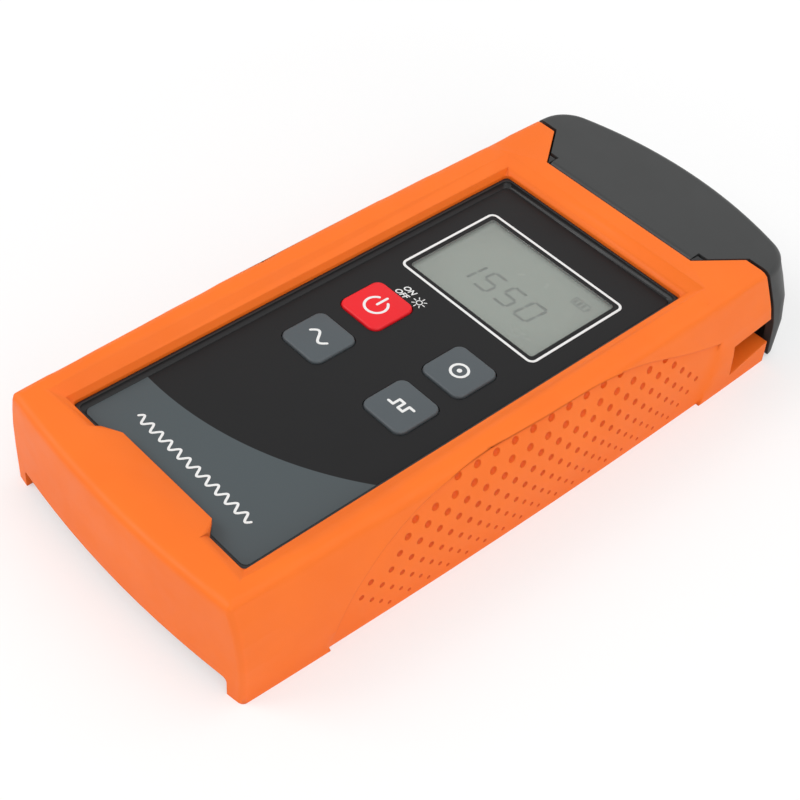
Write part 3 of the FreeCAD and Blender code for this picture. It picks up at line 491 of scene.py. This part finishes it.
BOOT_LOW, BOOT_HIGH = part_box("protective_boot")
PANEL_LOW, PANEL_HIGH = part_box("front_panel")
ARC_CENTRE = (-23.3 * MM, 22.1 * MM)
ARC_RADIUS = 79.6 * MM
KEYS = {
    "power_key": "key_red",
    "wavelength_key": "key_grey",
    "identify_key": "key_grey",
    "modulation_key": "key_grey",
}
KEY_SIDE = 12.5 * MM
KEY_STEM = 2.8 * MM
KEY_FLANGE_GAP = 0.05 * MM
KEY_FLANGE_THICK = 0.5 * MM
LAMP_SIGN = (-8.5 * MM, 4.1 * MM)
WAVE_LENGTH = 37.0 * MM
WAVE_Y = -65.6 * MM
WAVE_HALF = 0.95 * MM
WAVE_TURNS = 12
WAVE_LINE = 0.55 * MM
LINE_HALF = 21.1 * MM
LINE_NEAR = 10.2 * MM
LINE_FAR = 39.9 * MM
LINE_CORNER = 1.5 * MM
SCREW_HEAD = 2.25 * MM
SCREW_THICK = 1.6 * MM
SCREW_EASE = 0.25 * MM
SCREW_SHANK = 1.1 * MM
SCREW_SLOT_HALF = 1.3 * MM
SCREW_SLOT_WIDE = 0.6 * MM
SCREW_SLOT_DEEP = 0.9 * MM
SCREW_SLOT_TURN = 0.3
SCREW_SEGMENTS = 32

# Grip dimples in millimetres: slanted rows at an even pitch along Y. Each level of a row has a height Z,
# a shift along Y from the row's start, a diameter, and the near and far ends of the field along Y.

DIMPLE_ROW_START = -27.3
DIMPLE_ROW_PITCH = 5.35
DIMPLE_ROWS = range(-9, 13)
DIMPLE_LEVELS = (
    (25.8, 0.0, 2.0, -28.0, 21.5),
    (21.9, 4.1, 1.95, -40.0, 36.0),
    (18.8, 7.2, 1.8, -42.5, 40.0),
    (15.7, 10.3, 1.65, -44.5, 43.5),
    (12.6, 13.4, 1.5, -52.0, 46.7),
    (9.7, 16.4, 1.35, -54.5, 49.6),
    (7.0, 19.2, 1.2, -53.0, 47.5),
    (4.6, 21.8, 1.05, -52.0, 45.0),
    (2.4, 24.2, 0.95, -50.0, 43.0),
)
DIMPLE_LARGEST = 2.0

# Zone of the boot's sides that is evened out, in metres

SIDE_ZONE = 8.0 * MM
SIDE_CELL = 1.9 * MM
SIDE_FOOT = 1.0 * MM
SIDE_NEAR = -74.0 * MM
SIDE_FAR = 60.0 * MM
SIDE_ROUNDS = 10

# Display reading: the bars that each digit lights, and the place and size of the digits

SEGMENTS = {"0": "abcdef", "1": "bc", "5": "acdfg"}
DIGIT_X = -13.0 * MM
DIGIT_Y = 19.4 * MM
DIGIT_PITCH = 6.4 * MM
DIGIT_WIDE = 3.9 * MM
DIGIT_TALL = 6.6 * MM
DIGIT_LINE = 0.75 * MM
DIGIT_GAP = 0.28 * MM
DIGIT_SLANT = 0.10
READING = "1550"

# Battery sign on the display

CELL_LEFT = 11.6 * MM
CELL_RIGHT = 16.0 * MM
CELL_BASE = 32.6 * MM
CELL_TALL = 2.3 * MM
CELL_LINE = 0.25 * MM
CELL_BARS = 3
CELL_BAR_PITCH = 1.2 * MM
CELL_BAR_WIDE = 0.7 * MM
CELL_BAR_START = 0.75 * MM
CELL_BAR_INSET = 0.4 * MM
CELL_TIP_WIDE = 0.4 * MM
CELL_TIP_OUT = 0.3 * MM
CELL_TIP_ENDS = (0.7 * MM, 1.5 * MM)

# Thread on the output port

THREAD_ROOT = 3.95 * MM
THREAD_CREST = 4.16 * MM
THREAD_START = 5.6 * MM
THREAD_TURNS = 6
THREAD_STEPS = 36

# Lamps, world, floor and camera

WORLD_LEVEL = 0.5
CAMERA_FOCAL = 1662.0
CAMERA_PLACE = (182.8, -199.85, 271.08)
CAMERA_ROWS = (
    (0.67059809, 0.73827861, 0.07240778),
    (0.55902077, -0.43877226, -0.70354437),
    (-0.48764123, 0.51227297, -0.70695292),
)
FLOOR_GLOW = 0.45
FLOOR_NEAR = 0.14
FLOOR_FAR = 0.4


def dimple_places():
    """Every dimple as (y, z, diameter) in metres, seen from the side."""
    places = []
    for row in DIMPLE_ROWS:
        for z, shift, wide, near, far in DIMPLE_LEVELS:
            y = DIMPLE_ROW_START + DIMPLE_ROW_PITCH * row + shift
            if near <= y <= far:
                places.append((y * MM, z * MM, wide * MM))
    return places


def cut_across(bm, geom, axis, start, stop, step):
    """Cuts the geometry along evenly spaced planes and gives it back with the new parts."""
    for i in range(int((stop - start) / step) + 1):
        place_at = axis * (start + i * step)
        geom = bmesh.ops.bisect_plane(bm, geom=geom, dist=1e-7, plane_co=place_at, plane_no=axis)["geom"]
    return geom


def ease_sides(bm):
    """Gives the outer sides of the boot an even mesh and rounds their shoulders."""
    inner = BOOT_HIGH.x - SIDE_ZONE
    faces = [f for f in bm.faces if max(abs(v.co.x) for v in f.verts) > inner]
    geom = list({v for f in faces for v in f.verts}) + list({e for f in faces for e in f.edges}) + faces
    geom = cut_across(bm, geom, Vector((0, 1, 0)), BOOT_LOW.y + SIDE_CELL, BOOT_HIGH.y, SIDE_CELL)
    cut_across(bm, geom, Vector((0, 0, 1)), BOOT_LOW.z + SIDE_CELL, BOOT_HIGH.z, SIDE_CELL)
    bmesh.ops.dissolve_degenerate(bm, dist=0.02 * MM, edges=bm.edges)
    bm.normal_update()
    for side in (1, -1):
        soft = [v for v in bm.verts if v.co.x * side > inner and v.co.z > SIDE_FOOT
                and SIDE_NEAR < v.co.y < SIDE_FAR
                and all(f.normal.x * side > -0.05 and f.normal.z > -0.3 for f in v.link_faces)
                and any(f.normal.x * side > 0.2 for f in v.link_faces)]
        for _ in range(SIDE_ROUNDS):
            bmesh.ops.smooth_vert(bm, verts=soft, factor=0.5, use_axis_x=True, use_axis_y=True, use_axis_z=True)


def context_props(context):
    """The two groups of settings that the operators read."""
    return context.scene.source_sizes, context.scene.source_colours


class SOURCE_OT_boot(bpy.types.Operator):
    """Orange rubber boot with dimpled grips"""

    bl_idname = "source.boot"
    bl_label = "Rubber boot"

    def execute(self, context):
        sizes, colours = context_props(context)
        bm = node_copy("protective_boot")
        ease_sides(bm)
        boot = place("boot_skin", bm, "case", boot_rubber(colours, sizes))
        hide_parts("protective_boot")
        surface = BVHTree.FromObject(boot, context.evaluated_depsgraph_get())
        pits = bmesh.new()
        ball = unit_shape(bmesh.ops.create_uvsphere, u_segments=14, v_segments=10, radius=1.0)
        for side in (1, -1):
            for y, z, wide in dimple_places():
                start = Vector((side * (BOOT_HIGH.x + 0.01), y, z))
                point, normal, _, _ = surface.ray_cast(start, Vector((-side, 0.0, 0.0)))
                if point is None or abs(normal.x) < 0.2:
                    continue
                outward = normal if normal.x * side > 0 else -normal
                share = wide / (DIMPLE_LARGEST * MM)
                depth = sizes.dimple_depth * share
                half = wide / 2
                radius = (half * half + depth * depth) / (2 * depth)
                centre = point + outward * (radius - depth)
                stamp(pits, ball, Matrix.Translation(centre) @ outward.to_track_quat("Z", "Y").to_matrix().to_4x4()
                      @ Matrix.Scale(radius, 4))
        bpy.data.meshes.remove(ball)
        cut_away(boot, loose_object("pits", pits))
        even_shading(boot)
        return {"FINISHED"}


class SOURCE_OT_cap(bpy.types.Operator):
    """Charcoal dust cap that swings up off the port"""

    bl_idname = "source.cap"
    bl_label = "Dust cap"

    def execute(self, context):
        sizes, colours = context_props(context)
        cap = place("cap_skin", node_copy("dust_cover"), "dust_cover", cap_plastic(colours, sizes))
        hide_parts("dust_cover")
        even_shading(cap)
        return {"FINISHED"}


class SOURCE_OT_case(bpy.types.Operator):
    """Black case halves, battery door and end plate"""

    bl_idname = "source.case"
    bl_label = "Case"

    def execute(self, context):
        sizes, colours = context_props(context)
        plastic = case_plastic(colours, sizes)
        for node, body in (("front_housing", "case"), ("rear_housing", "case"), ("battery_door", "battery_door"),
                           ("end_plate", "case")):
            skin = place(node + "_skin", node_copy(node), body, plastic)
            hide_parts(node)
            even_shading(skin)
        return {"FINISHED"}


class SOURCE_OT_screws(bpy.types.Operator):
    """Round case screws with a cross recess, heads down"""

    bl_idname = "source.screws"
    bl_label = "Case screws"

    def execute(self, context):
        low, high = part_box("case_screws")
        bm = bmesh.new()
        slots = bmesh.new()
        for x in (low.x + SCREW_HEAD, high.x - SCREW_HEAD):
            for y in (low.y + SCREW_HEAD, high.y - SCREW_HEAD):
                profile = [(0.0, 0.0), (SCREW_HEAD - SCREW_EASE, 0.0), (SCREW_HEAD, SCREW_EASE),
                           (SCREW_HEAD, SCREW_THICK), (SCREW_SHANK, SCREW_THICK), (SCREW_SHANK, high.z - low.z),
                           (0.0, high.z - low.z)]
                one = bmesh.new()
                turned(one, profile, (x, y, low.z), SCREW_SEGMENTS)
                add_mesh(bm, one)
                for turn in (SCREW_SLOT_TURN, SCREW_SLOT_TURN + math.pi / 2):
                    reach = Vector((math.cos(turn), math.sin(turn))) * SCREW_SLOT_HALF
                    bar(slots, (x - reach.x, y - reach.y), (x + reach.x, y + reach.y), SCREW_SLOT_WIDE,
                        low.z - SCREW_EASE, low.z + SCREW_SLOT_DEEP + (LAYER if turn > 1 else 0.0))
        steel = metal("Screw steel", tone(136, 137, 140), 0.32)
        screws = place("case_screws_round", bm, "case", steel)
        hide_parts("case_screws")
        cut_away(screws, loose_object("slots", slots))
        return {"FINISHED"}


class SOURCE_OT_keys(bpy.types.Operator):
    """Four soft keys with their signs"""

    bl_idname = "source.keys"
    bl_label = "Keys"

    def execute(self, context):
        sizes, colours = context_props(context)
        red = key_rubber("Red key rubber", colours.key_red, sizes)
        grey = key_rubber("Grey key rubber", colours.key_grey, sizes)
        white = ink(colours)
        for node, slot in KEYS.items():
            low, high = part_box(node)
            centre = (low + high) / 2
            side = KEY_SIDE / 2
            flange_top = PANEL_LOW.z - KEY_FLANGE_GAP
            flange_low = flange_top - KEY_FLANGE_THICK
            bm = bmesh.new()
            soft_block(bm, Vector((centre.x - side, centre.y - side, flange_low)),
                       Vector((centre.x + side, centre.y + side, high.z)), sizes.key_corner, sizes.key_shoulder, 8, 5)
            soft_block(bm, Vector((low.x, low.y, flange_low)), Vector((high.x, high.y, flange_top)),
                       sizes.key_corner, 0.0)
            soft_block(bm, Vector((centre.x - KEY_STEM, centre.y - KEY_STEM, low.z)),
                       Vector((centre.x + KEY_STEM, centre.y + KEY_STEM, flange_low + LAYER)), KEY_STEM / 3, 0.0)
            key = place(node + "_rubber", bm, node, red if node == "power_key" else grey)
            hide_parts(node)
            sign = bmesh.new()
            draw_sign(sign, node, centre.x, centre.y, high.z - 0.02 * MM, high.z + sizes.print_height)
            place(node + "_sign", sign, node, white, flat=True)
        return {"FINISHED"}


def draw_sign(bm, node, x, y, low, high):
    """Plain sign for each key: power, wave, aim and pulse."""
    line = 0.62 * MM
    if node == "power_key":
        stroke(bm, arc_points(x, y - 0.2 * MM, 2.7 * MM, math.radians(122), math.radians(418), 26), line, low, high)
        stroke(bm, [(x, y + 0.1 * MM), (x, y + 3.2 * MM)], line, low, high)
    elif node == "wavelength_key":
        wave = [(x + (i / 24 - 0.5) * 5.6 * MM, y + 1.3 * MM * math.sin(i / 24 * math.tau)) for i in range(25)]
        stroke(bm, wave, line, low, high)
    elif node == "identify_key":
        disc(bm, x, y, 0.6 * MM, low, high)
        stroke(bm, arc_points(x, y, 2.0 * MM, 0.0, math.tau, 28), line, low, high)
    else:
        steps = ((-2.9, -1.0), (-1.5, -1.0), (-1.5, 1.0), (0.0, 1.0), (0.0, -1.0), (1.5, -1.0), (1.5, 1.0),
                 (2.9, 1.0))
        stroke(bm, [(x + a * MM, y + b * MM) for a, b in steps], line, low, high)


class SOURCE_OT_panel(bpy.types.Operator):
    """Printed marks on the front panel"""

    bl_idname = "source.panel"
    bl_label = "Panel print"

    def execute(self, context):
        sizes, colours = context_props(context)
        white = bpy.data.materials.get("White print")
        low = PANEL_HIGH.z - 0.01 * MM
        high = PANEL_HIGH.z + sizes.print_height
        bm = bmesh.new()
        outline_frame(bm, sizes.frame_line, low, high)
        place("display_outline", bm, "case", white, flat=True)

        bm = bmesh.new()
        sun = LAMP_SIGN
        stroke(bm, arc_points(*sun, 0.7 * MM, 0.0, math.tau, 16), 0.22 * MM, low, high)
        for i in range(8):
            turn = i * math.tau / 8
            reach = [(sun[0] + math.cos(turn) * r * MM, sun[1] + math.sin(turn) * r * MM) for r in (1.1, 1.7)]
            stroke(bm, reach, 0.22 * MM, low, high)
        place("lamp_sign", bm, "case", white, flat=True)

        for words, x, y in (("ON", -14.6 * MM, 4.5 * MM), ("OFF", -15.2 * MM, 2.4 * MM)):
            lettering("letters_" + words.lower(), words, x, y, 2.1 * MM, low, high, white)

        bm = bmesh.new()
        count = 160
        wave = [((i / count - 0.5) * WAVE_LENGTH, WAVE_Y + WAVE_HALF * math.sin(i / count * WAVE_TURNS * math.tau))
                for i in range(count + 1)]
        stroke(bm, wave, WAVE_LINE, low, high)
        place("wave_sign", bm, "case", white, flat=True)
        return {"FINISHED"}


def lettering(name, words, x, y, size, low, high, material):
    """Short slanted word as a thin printed mesh."""
    curve = bpy.data.curves.new(name, "FONT")
    curve.body = words
    curve.size = size
    curve.shear = 0.25
    curve.extrude = (high - low) / 2
    curve.offset = size * 0.02
    made = bpy.data.objects.new(name, curve)
    bpy.context.scene.collection.objects.link(made)
    mesh = bpy.data.meshes.new_from_object(made.evaluated_get(bpy.context.evaluated_depsgraph_get()))
    bpy.data.objects.remove(made)
    bm = bmesh.new()
    bm.from_mesh(mesh)
    bpy.data.meshes.remove(mesh)
    bmesh.ops.remove_doubles(bm, verts=bm.verts, dist=0.001 * MM)
    bmesh.ops.translate(bm, verts=bm.verts, vec=(x, y, (low + high) / 2))
    return place(name, bm, "case", material, flat=True)


def outline_frame(bm, line, low, high):
    """Line with round corners, printed round the display."""
    corners = ((LINE_HALF, LINE_NEAR, -90), (LINE_HALF, LINE_FAR, 0), (-LINE_HALF, LINE_FAR, 90),
               (-LINE_HALF, LINE_NEAR, 180))
    points = []
    for x, y, start in corners:
        cx = x - math.copysign(LINE_CORNER, x)
        cy = y + (LINE_CORNER if y == LINE_NEAR else -LINE_CORNER)
        points += arc_points(cx, cy, LINE_CORNER, math.radians(start), math.radians(start + 90), 8)
    stroke(bm, points + points[:1], line, low, high)


def segment_bars(x, y, wide, tall):
    """The seven bars of a digit as pairs of ends; x and y are its lower left corner."""
    gap = DIGIT_GAP
    half = tall / 2
    ends = {
        "a": ((gap, tall), (wide - gap, tall)),
        "b": ((wide, tall - gap), (wide, half + gap)),
        "c": ((wide, half - gap), (wide, gap)),
        "d": ((gap, 0), (wide - gap, 0)),
        "e": ((0, half - gap), (0, gap)),
        "f": ((0, tall - gap), (0, half + gap)),
        "g": ((gap, half), (wide - gap, half)),
    }
    return {name: [(x + a + DIGIT_SLANT * b, y + b) for a, b in pair] for name, pair in ends.items()}


class SOURCE_OT_display(bpy.types.Operator):
    """Reading and battery sign on the display glass"""

    bl_idname = "source.display"
    bl_label = "Display"

    def execute(self, context):
        glass_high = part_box("lcd_glass")[1]
        dark = moulded("Display segment", tone(66, 74, 67), 0.3, 2000.0, 0.001 * MM, 0.0, 0.02)
        low = glass_high.z - 0.01 * MM
        high = glass_high.z + 0.03 * MM
        bm = bmesh.new()
        for i, digit in enumerate(READING):
            bars = segment_bars(DIGIT_X + DIGIT_PITCH * i, DIGIT_Y, DIGIT_WIDE, DIGIT_TALL)
            for name in SEGMENTS[digit]:
                bar(bm, *bars[name], DIGIT_LINE, low, high)
        place("reading", bm, "case", dark, flat=True)

        bm = bmesh.new()
        top = CELL_BASE + CELL_TALL
        corners = [(CELL_LEFT, CELL_BASE), (CELL_RIGHT, CELL_BASE), (CELL_RIGHT, top), (CELL_LEFT, top),
                   (CELL_LEFT, CELL_BASE)]
        stroke(bm, corners, CELL_LINE, low, high)
        for i in range(CELL_BARS):
            x = CELL_LEFT + CELL_BAR_START + CELL_BAR_PITCH * i
            bar(bm, (x, CELL_BASE + CELL_BAR_INSET), (x, top - CELL_BAR_INSET), CELL_BAR_WIDE, low, high)
        tip = [(CELL_RIGHT + CELL_TIP_OUT, CELL_BASE + end) for end in CELL_TIP_ENDS]
        bar(bm, *tip, CELL_TIP_WIDE, low, high)
        place("battery_sign", bm, "case", dark, flat=True)
        return {"FINISHED"}


class SOURCE_OT_port(bpy.types.Operator):
    """Finish and thread for the output port"""

    bl_idname = "source.port"
    bl_label = "Output port"

    def execute(self, context):
        nickel = metal("Port nickel", tone(190, 188, 180), 0.28, (1, 12, 1))
        dress("output_port", nickel)
        low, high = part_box("output_port")
        centre = (low + high) / 2
        start = high.y - THREAD_START
        pitch = context.scene.source_sizes.thread_pitch
        bm = bmesh.new()
        profile = [(THREAD_ROOT, 0.0), (THREAD_CREST, pitch * 0.3), (THREAD_ROOT, pitch * 0.6)]
        verts = [bm.verts.new((centre.x + r, start + h, centre.z)) for r, h in profile]
        bm.faces.new(verts)
        steps = THREAD_STEPS * THREAD_TURNS
        bmesh.ops.spin(bm, geom=verts + list(bm.edges) + list(bm.faces), cent=(centre.x, start, centre.z),
                       axis=(0, 1, 0), dvec=(0, pitch * THREAD_TURNS / steps, 0),
                       angle=math.tau * THREAD_TURNS, steps=steps, use_merge=False)
        place("port_thread", bm, "case", nickel)
        return {"FINISHED"}


class SOURCE_OT_inner(bpy.types.Operator):
    """Finishes for the CAD parts that show or lie inside"""

    bl_idname = "source.inner"
    bl_label = "Inner parts"

    def execute(self, context):
        colours = context.scene.source_colours
        dress("front_panel", panel_print(colours))
        dress("display_window", clear_window())
        dress("lcd_glass", display_glass(colours))
        white = moulded("White moulding", tone(226, 226, 220), 0.45, 1500.0, 0.004 * MM, 0.1 * MM)
        for node in ("lcd_backlight", "lcd_holder"):
            dress(node, white)
        dress("keypad_mat", moulded("Mat rubber", tone(74, 78, 80), 0.55, 2000.0, 0.006 * MM, 0.2 * MM))
        steel = metal("Bright steel", tone(150, 151, 154), 0.3)
        for node in ("contact_domes", "contact_plates", "contact_springs", "hinge_pins", "board_screws",
                     "port_screws"):
            dress(node, steel)
        dress("main_board", board_mask())
        dress("board_chips", moulded("Chip body", tone(30, 31, 33), 0.42, 2600.0, 0.004 * MM, 0.1 * MM))
        dress("port_sleeve", moulded("White ceramic", tone(238, 236, 230), 0.2, 1500.0, 0.001 * MM, 0.0, 0.02))
        dress("laser_mount", metal("Cast block", tone(158, 160, 163), 0.46))
        laser = metal("Laser can", tone(196, 178, 128), 0.3)
        dress("laser_module", laser)
        dress("pigtail_connector", metal("Connector nickel", tone(186, 184, 178), 0.3))
        dress("fibre_pigtail", moulded("Fibre jacket", tone(236, 206, 70), 0.4, 1800.0, 0.003 * MM, 0.0))
        wrap = cell_wrap()
        for i in (1, 2, 3):
            dress("battery_cell_%d" % i, wrap)
        return {"FINISHED"}


def dress(node, material):
    """Gives a carried-over CAD node its finish."""
    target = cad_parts[node]
    target.data.materials.clear()
    target.data.materials.append(material)


class SOURCE_OT_stage(bpy.types.Operator):
    """Pale floor, soft studio light and the camera"""

    bl_idname = "source.stage"
    bl_label = "Stage"

    def execute(self, context):
        scene = context.scene
        scene.view_settings.view_transform = "Standard"
        bm = bmesh.new()
        bmesh.ops.create_grid(bm, x_segments=1, y_segments=1, size=6.0)
        floor = loose_object("floor", bm)
        floor.location.z = cad_box[0].z
        floor.data.materials.append(floor_material())
        light("key_light", (-0.75, -0.85, 1.05), 0.75, 8.0)
        light("top_light", (0.35, 0.35, 1.3), 1.3, 5.5)
        light("side_light", (1.25, -0.35, 0.65), 0.9, 4.5)
        world = bpy.data.worlds.new("Studio")
        scene.world = world
        world.use_nodes = True
        tree = world.node_tree
        back = tree.nodes["Background"]
        path = tree.nodes.new("ShaderNodeLightPath")
        direct = tree.nodes.new("ShaderNodeMath")
        direct.operation = "MAXIMUM"
        either = tree.nodes.new("ShaderNodeMath")
        either.operation = "MAXIMUM"
        tree.links.new(path.outputs["Is Camera Ray"], direct.inputs[0])
        tree.links.new(path.outputs["Is Glossy Ray"], direct.inputs[1])
        tree.links.new(direct.outputs["Value"], either.inputs[0])
        tree.links.new(path.outputs["Is Transmission Ray"], either.inputs[1])
        level = tree.nodes.new("ShaderNodeMapRange")
        level.inputs["To Min"].default_value = WORLD_LEVEL
        level.inputs["To Max"].default_value = 1.0
        tree.links.new(either.outputs["Value"], level.inputs["Value"])
        tree.links.new(level.outputs["Result"], back.inputs["Strength"])
        back.inputs["Color"].default_value = (1.0, 1.0, 1.0, 1.0)
        camera_data = bpy.data.cameras.new("camera")
        camera_data.sensor_width = 36.0
        camera_data.lens = CAMERA_FOCAL / 800 * 36.0
        camera_data.clip_start = 0.01
        camera = bpy.data.objects.new("camera", camera_data)
        scene.collection.objects.link(camera)
        right, down, ahead = (Vector(row) for row in CAMERA_ROWS)
        turn = Matrix((right, -down, -ahead)).transposed().to_4x4()
        camera.matrix_world = Matrix.Translation(Vector(CAMERA_PLACE) * MM) @ turn
        scene.camera = camera
        return {"FINISHED"}


def floor_material():
    """White floor that glows a little to the eye, so that only a soft shadow stays."""
    finish = Finish("Studio floor")
    finish.shader.inputs["Base Color"].default_value = (0.92, 0.92, 0.92, 1.0)
    finish.shader.inputs["Roughness"].default_value = 0.6
    glow = finish.add("ShaderNodeEmission")
    glow.inputs["Color"].default_value = (1.0, 1.0, 1.0, 1.0)
    glow.inputs["Strength"].default_value = 1.1
    path = finish.add("ShaderNodeLightPath")
    reach = finish.add("ShaderNodeVectorMath", operation="LENGTH")
    finish.join(finish.coords, reach.inputs[0])
    fade = finish.add("ShaderNodeMapRange")
    fade.inputs["From Min"].default_value = FLOOR_NEAR
    fade.inputs["From Max"].default_value = FLOOR_FAR
    fade.inputs["To Min"].default_value = FLOOR_GLOW
    fade.inputs["To Max"].default_value = 1.0
    finish.join(reach.outputs["Value"], fade.inputs["Value"])
    share = finish.add("ShaderNodeMath", operation="MULTIPLY")
    finish.join(path.outputs["Is Camera Ray"], share.inputs[0])
    finish.join(fade.outputs["Result"], share.inputs[1])
    mix = finish.add("ShaderNodeMixShader")
    finish.join(share.outputs["Value"], mix.inputs["Fac"])
    finish.join(finish.shader.outputs["BSDF"], mix.inputs[1])
    finish.join(glow.outputs["Emission"], mix.inputs[2])
    finish.join(mix.outputs["Shader"], finish.tree.nodes["Material Output"].inputs["Surface"])
    return finish.material


def light(name, place_at, size, power):
    """Square lamp that looks at the part."""
    data = bpy.data.lights.new(name, "AREA")
    data.shape = "SQUARE"
    data.size = size
    data.energy = power
    lamp = bpy.data.objects.new(name, data)
    bpy.context.scene.collection.objects.link(lamp)
    lamp.location = place_at
    lamp.rotation_euler = (-Vector(place_at)).to_track_quat("-Z", "Y").to_euler()


class SOURCE_PT_panel(bpy.types.Panel):
    """Sizes, colours and steps of the light source"""

    bl_label = "Light source"
    bl_idname = "SOURCE_PT_panel"
    bl_space_type = "VIEW_3D"
    bl_region_type = "UI"
    bl_category = "Light source"

    def draw(self, context):
        layout = self.layout
        for group in (context.scene.source_sizes, context.scene.source_colours):
            for name in group.__annotations__:
                layout.prop(group, name)
        for step in STEPS:
            layout.operator(step.bl_idname)


STEPS = (
    SOURCE_OT_stage,
    SOURCE_OT_inner,
    SOURCE_OT_boot,
    SOURCE_OT_cap,
    SOURCE_OT_case,
    SOURCE_OT_screws,
    SOURCE_OT_keys,
    SOURCE_OT_panel,
    SOURCE_OT_display,
    SOURCE_OT_port,
)
CLASSES = (SourceSizes, SourceColours, *STEPS, SOURCE_PT_panel)


def register():
    for item in CLASSES:
        bpy.utils.register_class(item)
    bpy.types.Scene.source_sizes = bpy.props.PointerProperty(type=SourceSizes)
    bpy.types.Scene.source_colours = bpy.props.PointerProperty(type=SourceColours)


def unregister():
    del bpy.types.Scene.source_colours
    del bpy.types.Scene.source_sizes
    for item in reversed(CLASSES):
        bpy.utils.unregister_class(item)


def main():
    register()
    for step in STEPS:
        getattr(bpy.ops.source, step.bl_idname.split(".")[1])()


if __name__ == "__main__":
    main()
